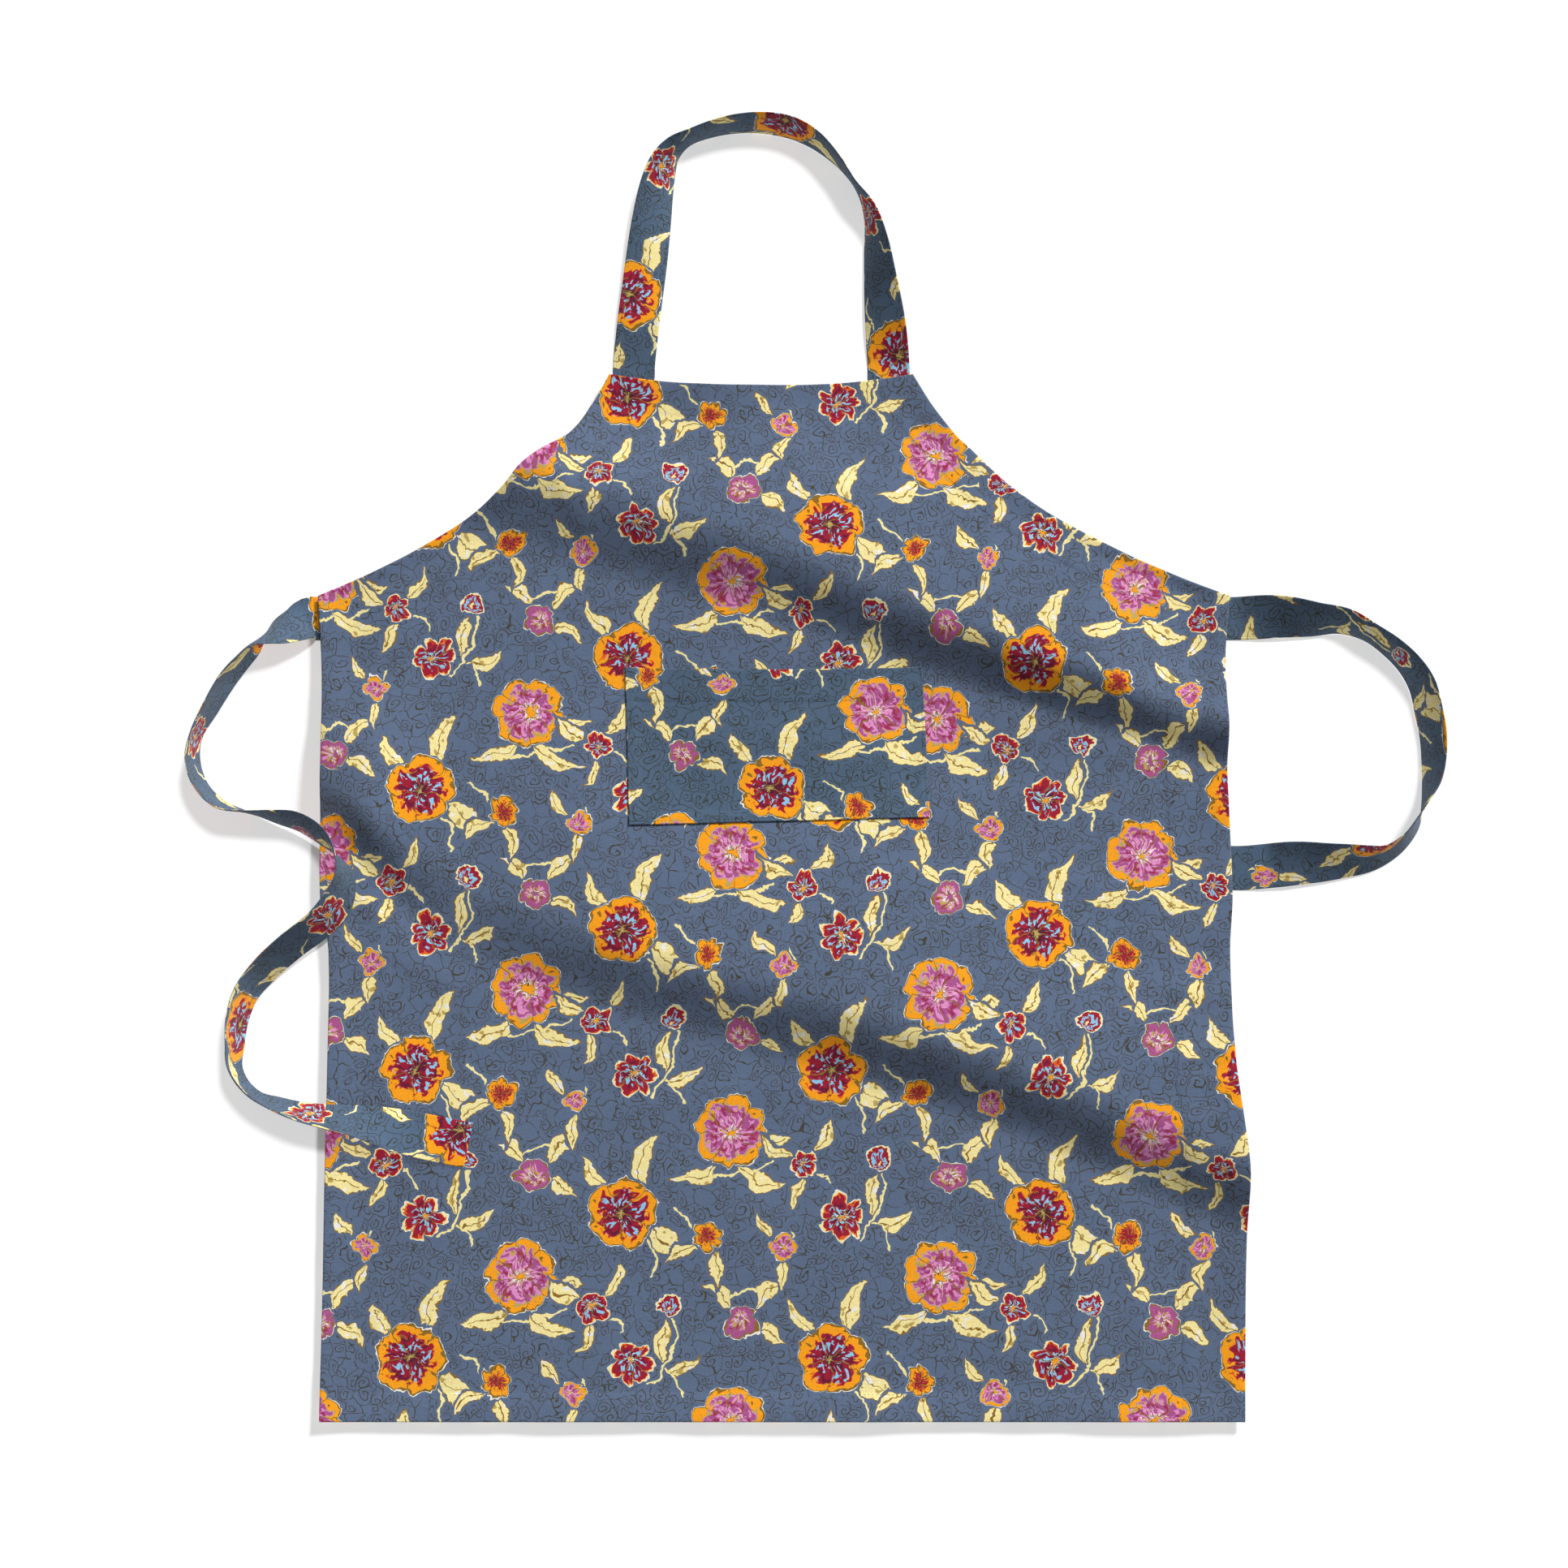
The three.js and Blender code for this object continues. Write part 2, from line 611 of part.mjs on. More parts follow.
function bandGeometry(rows, width, overPanelAfter) {
  const line = stations(rows);
  const sides = line.map((_, i) => {
    const [a, b] = [line[Math.max(0, i - 1)], line[Math.min(line.length - 1, i + 1)]];
    const length = Math.hypot(b.x - a.x, b.y - a.y);
    return [-(b.y - a.y) / length, (b.x - a.x) / length];
  });
  const needed = line.map(({ x, y, s, turn }, i) => {
    if (s < overPanelAfter) return 0;
    const half = (width / 2) * Math.max(leastRest, Math.abs(Math.cos(THREE.MathUtils.degToRad(turn))));
    const [sx, sy] = sides[i];
    const places = [-1, -0.5, 0, 0.5, 1].flatMap((k) => [-1, 0, 1].map((m) => [half * k, bandStep * m]));
    return Math.max(...places.map(([a, b]) => supportUnder(x + sx * a + sy * b, y + sy * a - sx * b)));
  });
  const widest = needed.map((_, i) => Math.max(...needed.slice(Math.max(0, i - 2), i + 3)));
  const support = widest.map((_, i) => {
    const near = widest.slice(Math.max(0, i - 1), i + 2);
    return near.reduce((sum, value) => sum + value, 0) / near.length;
  });
  const points = [];
  const index = [];
  const around = 2 * (bandFacets + 1);
  line.forEach(({ x, y, turn, curl }, i) => {
    const section = bandSection(width, turn, curl);
    const lowest = Math.min(...section.map(([, up]) => up));
    for (const [side, up] of section) {
      points.push([x + sides[i][0] * side, y + sides[i][1] * side, support[i] + up - lowest]);
    }
  });
  for (let i = 0; i < line.length - 1; i += 1) {
    for (let k = 0; k < around; k += 1) {
      const next = (k + 1) % around;
      const [a, b, c, d] = [i * around + k, i * around + next, (i + 1) * around + next, (i + 1) * around + k];
      index.push(a, c, d, a, b, c);
    }
  }
  const end = (line.length - 1) * around;
  for (let k = 0; k < bandFacets; k += 1) {
    const [a, b, c, d] = [k, k + 1, around - 2 - k, around - 1 - k];
    index.push(a, c, b, a, d, c);
    index.push(end + a, end + b, end + c, end + a, end + c, end + d);
  }
  return solidGeometry(points, index);
}

// Routes in millimetres, with the stretches that are tucked beneath the panel

function neckRows() {
  const rows = neckRoute.map((row) => ({
    ...row,
    x: bibShift + row.across * neckStrapSpread,
    y: bibTop + row.up * neckLoopHeight,
  }));
  const [first, last] = [rows[0], rows[rows.length - 1]];
  return [
    { ...first, y: bibTop - tuckDepth },
    first,
    { ...first, y: bibTop + flatRoot },
    ...rows.slice(1, -1),
    { ...last, y: bibTop + flatRoot },
    last,
    { ...last, y: bibTop - tuckDepth },
  ];
}

function tieRows(side, route, reach, hidden) {
  const rows = route.map((row) => ({
    ...row,
    x: side * (skirtWidth / 2 + row.out * reach),
    y: row.up * sideHeight,
  }));
  const edge = edgePoint(side, tieRise / sideHeight)[0];
  const root = [-tuckDepth, 0, flatRoot].map((out) => ({ x: edge + side * out, y: tieRise, turn: 0, curl: 0 }));
  const last = rows[rows.length - 1];
  const tail = [0, 0.5, 1].map((t) => ({ ...last, x: tieReturn.x - t * hidden, y: tieReturn.y, turn: 180 }));
  return [...root, ...rows, ...(hidden > 0 ? tail : [])];
}

// The assembly

const bodyCloth = new THREE.MeshStandardMaterial({ color: 0x5a6987, roughness: 0.92, metalness: 0 });
const doubleCloth = new THREE.MeshStandardMaterial({ color: 0x4b6178, roughness: 0.92, metalness: 0 });

const pieces = [
  ["apron_panel", panelGeometry(), bodyCloth],
  ["pocket", pocketGeometry(), doubleCloth],
  ["neck_strap", bandGeometry(neckRows(), neckStrapWidth, Infinity), doubleCloth],
  ["waist_tie_left", bandGeometry(tieRows(-1, leftTieRoute, leftTieReach, 0), tieWidth, looseAfter), doubleCloth],
  ["waist_tie_right", bandGeometry(tieRows(1, rightTieRoute, rightTieReach, tieTuck), tieWidth, Infinity), doubleCloth],
];

const apron = new THREE.Group();
for (const [name, geometry, material] of pieces) {
  const mesh = new THREE.Mesh(geometry, material);
  mesh.name = name;
  apron.add(mesh);
}

// The origin is the middle of the whole apron, on the table
const middle = new THREE.Box3().setFromObject(apron).getCenter(new THREE.Vector3());
for (const mesh of apron.children) mesh.position.set(-middle.x, -middle.y, 0);

export default apron;
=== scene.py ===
import math

import bpy
import numpy as np
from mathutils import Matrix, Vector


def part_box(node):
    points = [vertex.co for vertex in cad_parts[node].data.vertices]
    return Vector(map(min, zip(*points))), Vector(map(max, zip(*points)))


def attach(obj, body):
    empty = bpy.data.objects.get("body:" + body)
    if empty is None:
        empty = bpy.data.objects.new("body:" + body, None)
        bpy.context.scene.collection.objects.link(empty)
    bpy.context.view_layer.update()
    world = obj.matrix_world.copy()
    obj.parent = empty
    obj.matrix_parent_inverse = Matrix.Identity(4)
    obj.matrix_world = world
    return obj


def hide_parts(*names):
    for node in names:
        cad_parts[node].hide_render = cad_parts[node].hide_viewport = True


# A cotton bib apron laid flat, front up. Metres, +X right and +Y towards the neck, as seen from the front.
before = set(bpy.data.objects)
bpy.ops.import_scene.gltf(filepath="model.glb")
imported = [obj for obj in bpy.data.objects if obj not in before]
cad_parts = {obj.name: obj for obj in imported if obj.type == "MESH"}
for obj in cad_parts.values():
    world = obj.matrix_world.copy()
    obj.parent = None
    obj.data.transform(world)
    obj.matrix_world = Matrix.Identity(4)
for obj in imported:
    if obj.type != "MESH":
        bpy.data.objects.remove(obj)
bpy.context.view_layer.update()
scene = bpy.context.scene
mm = 0.001
print("frame loaded, solids:", len(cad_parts))


# Small helpers for curves and tables

def clamp01(value):
    return np.clip(value, 0.0, 1.0)


def ease(value):
    t = clamp01(value)
    return t * t * (3 - 2 * t)


def lerp(a, b, t):
    return a + (b - a) * t


# A cubic from a to b that leaves with slope p and arrives with slope q
def cubic(a, b, p, q, t):
    rest = 1 - t
    return a * (1 + 2 * t) * rest**2 + p * t * rest**2 + b * t * t * (3 - 2 * t) - q * t * t * rest


# A smooth curve through points, read at one value or many
def smoothThrough(xs, ys, at):
    xs, ys, at = np.asarray(xs, float), np.asarray(ys, float), np.asarray(at, float)
    last = len(xs) - 1
    i = np.clip(np.searchsorted(xs, at) - 1, 0, last - 1)
    order = np.arange(last + 1)
    before, after = np.maximum(order - 1, 0), np.minimum(order + 1, last)
    slope = (ys[after] - ys[before]) / (xs[after] - xs[before])
    span = xs[i + 1] - xs[i]
    t = clamp01((at - xs[i]) / span)
    return cubic(ys[i], ys[i + 1], slope[i] * span, slope[i + 1] * span, t)


# From 0 to 1 with an even slope between two soft bends
def softRamp(value, bend):
    def corner(v):
        return np.where(v > bend, v, np.where(v > -bend, (v + bend) ** 2 / (4 * bend), 0))

    return corner(value) - corner(value - 1)


# A place measured along and across a direction
def turnedBy(degrees, x, y):
    c, s = math.cos(math.radians(degrees)), math.sin(math.radians(degrees))
    return x * c + y * s, y * c - x * s


def columns(rows):
    return [np.array(c, float) for c in zip(*rows)]


def distanceAlong(points):
    steps = np.linalg.norm(np.diff(points, axis=0), axis=1)
    return np.concatenate([[0.0], np.cumsum(steps)])


# The panel: bib and skirt in one cut

panel = {
    "skirtWidth": 0.728,
    "sideHeight": 0.660,
    "bibWidth": 0.252,
    "bibHeight": 0.188,
    "bibShift": -0.019,
    "bibDip": 0.011,
    "dipShare": 0.45,
    "thickness": 0.0010,
    "hemThickness": 0.0015,
    "hemEase": 0.006,
    # how far off on the print the turned hems lie from the face above them
    "turnedPrint": (0.043, 0.071),
    "bottomHem": 0.022,
    "topHem": 0.025,
    "sideHem": 0.050,
    "armholeFacing": 0.032,
    # the climb of the edge from which the hem's inner line turns to the facing's, and the facing's to the top
    "hemTurnsFrom": 0.8,
    "facingTurnsFrom": 1.7,
    # up the side, then how far the left and right edge lie outside half the width, in shares of it
    "sideLay": [
        (0.00, 0.000, -0.004),
        (0.15, 0.000, 0.000),
        (0.29, 0.001, 0.004),
        (0.43, 0.001, -0.008),
        (0.56, 0.003, -0.009),
        (0.63, 0.014, -0.004),
        (0.80, 0.016, -0.006),
        (0.90, 0.018, -0.006),
        (1.00, 0.025, 0.002),
    ],
    # up the armhole, then how far the left and right edge have come in from the side corner
    "armhole": [
        (0.00, 0.000, 0.000),
        (0.10, 0.180, 0.190),
        (0.20, 0.330, 0.360),
        (0.35, 0.520, 0.560),
        (0.48, 0.640, 0.690),
        (0.57, 0.700, 0.760),
        (0.65, 0.780, 0.815),
        (0.72, 0.865, 0.865),
        (0.86, 0.940, 0.940),
        (1.00, 1.000, 1.000),
    ],
    "meshStep": 0.0044,
    "hemStep": 0.0052,
}

# The two folds that lie across the panel. Rows: across in shares of half the skirt's width,
# up in shares of the apron's length, then how high and how wide the fold is there
folds = {
    "steepWidth": 0.056,
    "gentleWidth": 0.185,
    "gentleBend": 0.25,
    "footWidth": 2.4,
    # they die away this near to where the strap and the ties are sewn on
    "fade": 0.090,
    "paths": [
        {
            "height": 0.0245,
            "foot": 0.13,
            "rows": [
                (-0.662, 0.875, 0.75, 1.35),
                (-0.363, 0.832, 0.95, 1.25),
                (0.000, 0.787, 1.00, 1.05),
                (0.324, 0.731, 1.00, 0.95),
                (0.654, 0.682, 1.00, 0.80),
                (0.989, 0.633, 0.95, 0.80),
            ],
        },
        {
            "height": 0.023,
            "foot": 0.0,
            "rows": [
                (-1.033, 0.579, 0.34, 0.62),
                (-0.923, 0.540, 0.76, 0.70),
                (-0.804, 0.495, 0.50, 0.90),
                (-0.670, 0.456, 0.42, 1.10),
                (-0.396, 0.413, 0.80, 1.10),
                (-0.049, 0.370, 1.02, 1.15),
                (0.247, 0.333, 1.08, 1.10),
                (0.613, 0.276, 1.08, 1.08),
                (1.008, 0.203, 0.98, 1.10),
            ],
        },
    ],
}

# Small creases: middle x and y, direction in degrees, half length, half width and height
creases = {
    "rows": [
        (0.335, 0.285, 8, 0.060, 0.006, 0.0012),
        (0.345, 0.262, -6, 0.050, 0.006, 0.0011),
        (0.320, 0.236, 4, 0.045, 0.007, 0.0009),
        (0.330, 0.335, -12, 0.050, 0.007, 0.0012),
        (-0.220, 0.080, 86, 0.090, 0.007, 0.0007),
        (-0.190, 0.110, 95, 0.080, 0.006, 0.0006),
        (-0.330, 0.400, -40, 0.050, 0.009, 0.0016),
        (-0.300, 0.360, -28, 0.060, 0.010, 0.0014),
        (-0.180, 0.745, -60, 0.050, 0.010, 0.0016),
        (-0.150, 0.770, -42, 0.045, 0.009, 0.0013),
        (0.060, 0.440, -20, 0.090, 0.012, 0.0010),
        (0.250, 0.420, -16, 0.080, 0.011, 0.0012),
        (-0.080, 0.250, 8, 0.120, 0.014, 0.0008),
        (0.120, 0.130, -8, 0.120, 0.015, 0.0008),
        (-0.280, 0.190, 70, 0.070, 0.010, 0.0009),
        (0.280, 0.080, 100, 0.060, 0.010, 0.0009),
    ],
    "taper": 1.6,
    # long soft waves: length across, direction in degrees, phase and height
    "waves": [
        (0.210, 24, 0.6, 0.00045),
        (0.133, 71, 2.1, 0.00030),
        (0.089, -37, 4.4, 0.00022),
        (0.061, 12, 1.3, 0.00014),
        (0.047, 103, 5.2, 0.00010),
    ],
}

# How far the hemmed edges stand off the table, and over which width they come down to it
rim = {"lift": 0.0022, "width": 0.030}

neckStrap = {
    "width": 0.035,
    "loopHeight": 0.221,
    "spread": 0.212,
    # across in shares of the spread, up in shares of the loop, then turn and curl in degrees
    "route": [
        (-0.500, 0.000, 0, 0),
        (-0.482, 0.198, 4, 0),
        (-0.454, 0.415, 10, 10),
        (-0.428, 0.596, 27, 20),
        (-0.404, 0.722, 42, 30),
        (-0.378, 0.800, 56, 35),
        (-0.338, 0.862, 76, 35),
        (-0.285, 0.902, 90, 28),
        (-0.202, 0.936, 90, 22),
        (-0.108, 0.957, 87, 22),
        (0.006, 0.961, 83, 26),
        (0.119, 0.942, 81, 22),
        (0.214, 0.894, 85, 18),
        (0.310, 0.804, 94, 15),
        (0.372, 0.713, 97, 15),
        (0.422, 0.607, 77, 25),
        (0.444, 0.490, 58, 28),
        (0.464, 0.337, 40, 25),
        (0.489, 0.157, 16, 10),
        (0.500, 0.000, 0, 0),
    ],
    "printAt": (0.031, 0.412),
}

leftTie = {
    "reach": 0.118,
    "hidden": 0.0,
    # out in shares of the reach, up in shares of the side, then turn and curl in degrees
    "route": [
        (0.295, 0.963, 23, 12),
        (0.409, 0.953, 41, 35),
        (0.499, 0.943, 68, 60),
        (0.576, 0.932, 89, 60),
        (0.656, 0.915, 95, 45),
        (0.745, 0.893, 98, 30),
        (0.854, 0.857, 96, 20),
        (0.948, 0.821, 91, 15),
        (0.963, 0.788, 97, 15),
        (0.894, 0.757, 100, 15),
        (0.745, 0.734, 103, 10),
        (0.571, 0.726, 94, 10),
        (0.388, 0.719, 80, 15),
        (0.221, 0.712, 70, 25),
        (0.064, 0.695, 70, 25),
        (-0.046, 0.673, 86, 20),
        (-0.104, 0.648, 106, 15),
        (-0.061, 0.618, 122, 15),
        (0.057, 0.590, 122, 10),
        (0.243, 0.564, 120, 10),
        (0.411, 0.538, 118, 15),
        (0.549, 0.508, 112, 20),
        (0.607, 0.476, 107, 20),
        (0.621, 0.444, 102, 25),
        (0.621, 0.419, 97, 30),
        (0.566, 0.398, 95, 40),
        (0.467, 0.382, 97, 40),
        (0.334, 0.373, 105, 30),
        (0.182, 0.365, 112, 20),
        (0.001, 0.359, 120, 15),
        (-0.233, 0.353, 133, 15),
        (-0.475, 0.343, 157, 10),
        (-0.728, 0.333, 174, 4),
        (-0.960, 0.325, 178, 0),
    ],
    "printAt": (0.098, 0.110),
}

rightTie = {
    "reach": 0.164,
    "hidden": 0.265,
    "route": [
        (0.232, 0.971, 26, 10),
        (0.412, 0.965, 51, 20),
        (0.556, 0.961, 67, 35),
        (0.679, 0.947, 79, 40),
        (0.783, 0.929, 77, 35),
        (0.872, 0.907, 74, 25),
        (0.928, 0.883, 70, 20),
        (0.953, 0.854, 68, 20),
        (0.972, 0.823, 69, 20),
        (0.972, 0.793, 72, 20),
        (0.956, 0.763, 80, 20),
        (0.926, 0.739, 94, 15),
        (0.887, 0.715, 106, 15),
        (0.813, 0.691, 109, 20),
        (0.715, 0.675, 113, 25),
        (0.633, 0.670, 123, 20),
        (0.541, 0.668, 132, 15),
        (0.426, 0.666, 144, 10),
        (0.293, 0.665, 161, 0),
        (0.160, 0.663, 180, 0),
        (0.050, 0.661, 180, 0),
    ],
    "printAt": (0.060, 0.262),
}

# What the strap and both ties share
bands = {
    "tieWidth": 0.036,
    "thickness": 0.0012,
    "tieRise": 0.642,
    "returnClimb": 0.661,
    "tuckDepth": 0.022,
    "flatRoot": 0.008,
    "step": 0.0035,
    "facets": 14,
    "layGap": 0.0009,
    "leastCurl": 0.6,
    "leastFoot": 0.4,
    "tuckMargin": 0.034,
    "tuckFall": 0.026,
    "tuckGap": 0.0003,
    # how far their flat stretches stand off the table, and over which length they come down to it
    "stand": 0.0055,
    "standEase": 0.050,
    # the left tie's far end lies on the panel over this length
    "endLaid": 0.150,
    "reversePrint": (0.133, -0.006),
}

skirtWidth, sideHeight = panel["skirtWidth"], panel["sideHeight"]
bibTop = sideHeight + panel["bibHeight"]
sideUp, *sideOut = columns(panel["sideLay"])
armUp, *armIn = columns(panel["armhole"])

# The middle of the bottom hem, where the panel's own x and y are 0
panelLow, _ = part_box("apron_panel")
originX = panelLow.x + skirtWidth * (0.5 + sideOut[0].max())
originY = panelLow.y


# A point of the left or right edge. Climb is 0 to 1 up the side and 1 to 2 up the armhole
def edgePoint(side, climb):
    climb = np.asarray(climb, float)
    k = 0 if side < 0 else 1
    sideX = side * skirtWidth * (0.5 + smoothThrough(sideUp, sideOut[k], np.minimum(climb, 1)))
    reach = smoothThrough(armUp, armIn[k], np.maximum(climb - 1, 0))
    bibX = panel["bibShift"] + side * panel["bibWidth"] / 2
    cornerX = side * skirtWidth * (0.5 + sideOut[k][-1])
    x = np.where(climb <= 1, sideX, lerp(cornerX, bibX, reach))
    y = np.where(climb <= 1, climb * sideHeight, sideHeight + (climb - 1) * panel["bibHeight"])
    return x, y


def climbAt(y):
    return np.where(y <= sideHeight, y / sideHeight, 1 + (y - sideHeight) / panel["bibHeight"])


def inwardNormal(side, climb, reach=0.002):
    x0, y0 = edgePoint(side, np.maximum(1 + reach, climb - reach))
    x1, y1 = edgePoint(side, np.minimum(2, climb + reach))
    length = np.hypot(x1 - x0, y1 - y0)
    return -side * (y1 - y0) / length, side * (x1 - x0) / length


def facingPoint(side, climb):
    x, y = edgePoint(side, climb)
    nx, ny = inwardNormal(side, climb)
    return x + nx * panel["armholeFacing"], y + ny * panel["armholeFacing"]


# Where the facing's inner line meets the side hem's inner line, as a climb of the edge
def facingStart(side):
    target = abs(edgePoint(side, 1)[0]) - panel["sideHem"]
    low, high = 1.0, 1.6
    for _ in range(40):
        middle = (low + high) / 2
        if abs(facingPoint(side, middle)[0]) > target:
            low = middle
        else:
            high = middle
    return low


# The inner line of the side hem and of the armhole's facing
def hemPoint(side, climb, start):
    x, y = edgePoint(side, climb)
    towardsCorner = y * facingPoint(side, start)[1] / sideHeight
    hemTurn = ease((climb - panel["hemTurnsFrom"]) / (1 - panel["hemTurnsFrom"]))
    lowX, lowY = x - side * panel["sideHem"], lerp(y, towardsCorner, hemTurn)
    base = start + (2 - start) * np.maximum(climb - 1, 0)
    bx, by = edgePoint(side, base)
    nx, ny = inwardNormal(side, base)
    level = ease((climb - panel["facingTurnsFrom"]) / (2 - panel["facingTurnsFrom"]))
    dx, dy = lerp(nx, -side, level), lerp(ny, 0, level)
    length = panel["armholeFacing"] / (dx * nx + dy * ny)
    return np.where(climb <= 1, lowX, bx + dx * length), np.where(climb <= 1, lowY, by + dy * length)


# The bib's top edge hangs a little in the middle
def dipped(x, y):
    across = clamp01(1 - ((x - panel["bibShift"]) / (panel["bibWidth"] / 2)) ** 2)
    felt = ease(1 - (bibTop - y) / (panel["dipShare"] * panel["bibHeight"]))
    return y - panel["bibDip"] * across * felt


def foldLift(fold, x, y):
    across, up, swell, spread = columns(fold["rows"])
    xs, ys = across * skirtWidth / 2, up * bibTop
    inside = np.clip(x, xs[0], xs[-1])
    startSlope, endSlope = (ys[1] - ys[0]) / (xs[1] - xs[0]), (ys[-1] - ys[-2]) / (xs[-1] - xs[-2])
    line = smoothThrough(xs, ys, inside) + np.where(x < xs[0], startSlope, endSlope) * (x - inside)
    nearby = 0.004
    before, after = smoothThrough(xs, ys, inside - nearby), smoothThrough(xs, ys, inside + nearby)
    distance = (y - line) / np.hypot(1, (after - before) / (2 * nearby))
    wide = smoothThrough(xs, spread, inside)
    steep = folds["steepWidth"] * wide
    foot = steep * folds["footWidth"]
    pastTop = distance - steep / 2
    rise = lerp(ease(pastTop / steep + 1), ease(pastTop / foot + 1), fold["foot"])
    fall = 1 - softRamp(pastTop / (folds["gentleWidth"] * (1 + wide) / 2), folds["gentleBend"])
    return fold["height"] * smoothThrough(xs, swell, inside) * rise * fall


neckX = [panel["bibShift"] + side * neckStrap["spread"] / 2 for side in (-1, 1)]
returnX = float(edgePoint(1, bands["returnClimb"])[0])
returnY = bands["returnClimb"] * sideHeight


# What lies beneath the panel: the strap's ends, the ties' ends and the right tie's hidden stretch
def tuckBoxes():
    half, tie = neckStrap["width"] / 2, bands["tieWidth"] / 2
    boxes = [(x - half, bibTop - bands["tuckDepth"], x + half, bibTop) for x in neckX]
    for side in (-1, 1):
        x = float(edgePoint(side, bands["tieRise"] / sideHeight)[0])
        xs = sorted([x, x - side * bands["tuckDepth"]])
        boxes.append((xs[0], bands["tieRise"] - tie, xs[1], bands["tieRise"] + tie))
    boxes.append((returnX - rightTie["hidden"], returnY - tie, returnX, returnY + tie))
    return boxes


tucks = tuckBoxes()


# How far each place lies from the nearest of some boxes
def boxGap(x, y, boxes):
    nearest = np.full_like(x, 10.0)
    for lowX, lowY, highX, highY in boxes:
        dx = np.maximum(np.maximum(lowX - x, x - highX), 0)
        dy = np.maximum(np.maximum(lowY - y, y - highY), 0)
        nearest = np.minimum(nearest, np.hypot(dx, dy))
    return nearest


def tuckLift(x, y):
    near = 1 - ease((boxGap(x, y, tucks) - bands["tuckMargin"]) / bands["tuckFall"])
    return near * (bands["thickness"] + bands["tuckGap"])


def rimLift(x, y):
    climb = np.clip(climbAt(y), 0, 2)
    gap = np.minimum(x - edgePoint(-1, climb)[0], edgePoint(1, climb)[0] - x)
    gap = np.minimum(gap, np.minimum(y, bibTop - y))
    return rim["lift"] * (1 - ease(gap / rim["width"]))


def creaseLift(x, y):
    lift = np.zeros_like(x)
    for cx, cy, degrees, halfLength, halfWidth, height in creases["rows"]:
        along, across = turnedBy(degrees, x - cx, y - cy)
        along, across = along / halfLength, across / halfWidth
        lift = lift + height * np.exp(-creases["taper"] * along**2 - across**2)
    for length, degrees, phase, height in creases["waves"]:
        along, _ = turnedBy(degrees, x, y)
        lift = lift + height * (1 + np.sin(2 * math.pi * along / length + phase))
    return lift


# How high the panel's reverse lies above the table, all told
def clothLift(x, y):
    x, y = np.asarray(x, float), np.asarray(y, float)
    lift = sum(foldLift(fold, x, y) for fold in folds["paths"])
    lift = lift * ease(boxGap(x, y, tucks[:-1]) / folds["fade"])
    return lift + tuckLift(x, y) + creaseLift(x, y) + rimLift(x, y)


# Meshes

# How a cloth ends at its folded edges and is drawn in along its seams, and where its mesh is finer for that
finish = {
    "panelBend": 0.0011,
    "bandBend": 0.0009,
    "edgeShare": 0.14,
    "grooveDepth": 0.00016,
    "grooveWidth": 0.0012,
    # in millimetres from the edge, and from the seam
    "edgeRows": (0.3, 0.8, 1.6, 3.0),
    "seamRows": (-1.5, -0.7, 0, 0.7, 1.5),
}


# A smooth mesh. Its uvs, if any, are one for each corner of each face, in metres of cloth
def makePiece(name, points, faces, materials, uvs=None, slots=None):
    mesh = bpy.data.meshes.new(name)
    mesh.from_pydata(points.tolist(), [], faces)
    for material in materials:
        mesh.materials.append(material)
    if uvs is not None:
        mesh.uv_layers.new(name="cloth").data.foreach_set("uv", uvs.astype(np.float32).ravel())
        mesh.polygons.foreach_set("material_index", slots.astype(np.int32))
    mesh.polygons.foreach_set("use_smooth", np.ones(len(faces), bool))
    mesh.update()
    piece = bpy.data.objects.new(name, mesh)
    scene.collection.objects.link(piece)
    return piece


# A cloth between an upper and a lower grid of points, closed round its edge. Where it is turned under,
# its reverse shows the face of the cloth, from another part of the print
def gridSolid(name, upper, lower, upperUv, lowerUv, materials, turned=None):
    rows, cols = upper.shape[:2]
    at = np.arange(rows * cols).reshape(rows, cols)
    quads = np.stack([at[:-1, :-1], at[:-1, 1:], at[1:, 1:], at[1:, :-1]], -1).reshape(-1, 4)
    count = rows * cols
    border = np.concatenate([at[0, :-1], at[:-1, -1], at[-1, :0:-1], at[:0:-1, 0]])
    after = np.roll(border, -1)
    borderQuads = np.stack([border + count, after + count, after, border], -1)
    faces = np.concatenate([quads, quads[:, ::-1] + count, borderQuads])
    flatUv = np.concatenate([upperUv.reshape(-1, 2), lowerUv.reshape(-1, 2)])
    cornerUv = flatUv[faces]
    cornerUv[-len(borderQuads):] = flatUv[borderQuads % count]
    slots = np.concatenate([np.zeros(len(quads)), np.ones(len(quads)), np.zeros(len(borderQuads))])
    if turned is not None:
        doubled = len(quads) + np.flatnonzero((turned[:-1, :-1] + turned[1:, 1:]).reshape(-1) > 1)
        slots[doubled] = 0
        cornerUv[doubled] += np.array(panel["turnedPrint"])
    points = np.concatenate([upper.reshape(-1, 3), lower.reshape(-1, 3)])
    return makePiece(name, points, faces.tolist(), materials, cornerUv, slots)


# From the panel's own x and y to the frame's
def inPlace(points):
    return points + np.array([originX, originY, 0.0])


# Half the cloth's thickness, as a share of the whole, this far in from a folded edge
def edgeRounding(inset, bend):
    return np.maximum(np.sqrt(clamp01(1 - (1 - clamp01(inset / bend)) ** 2)) * 0.5, finish["edgeShare"])


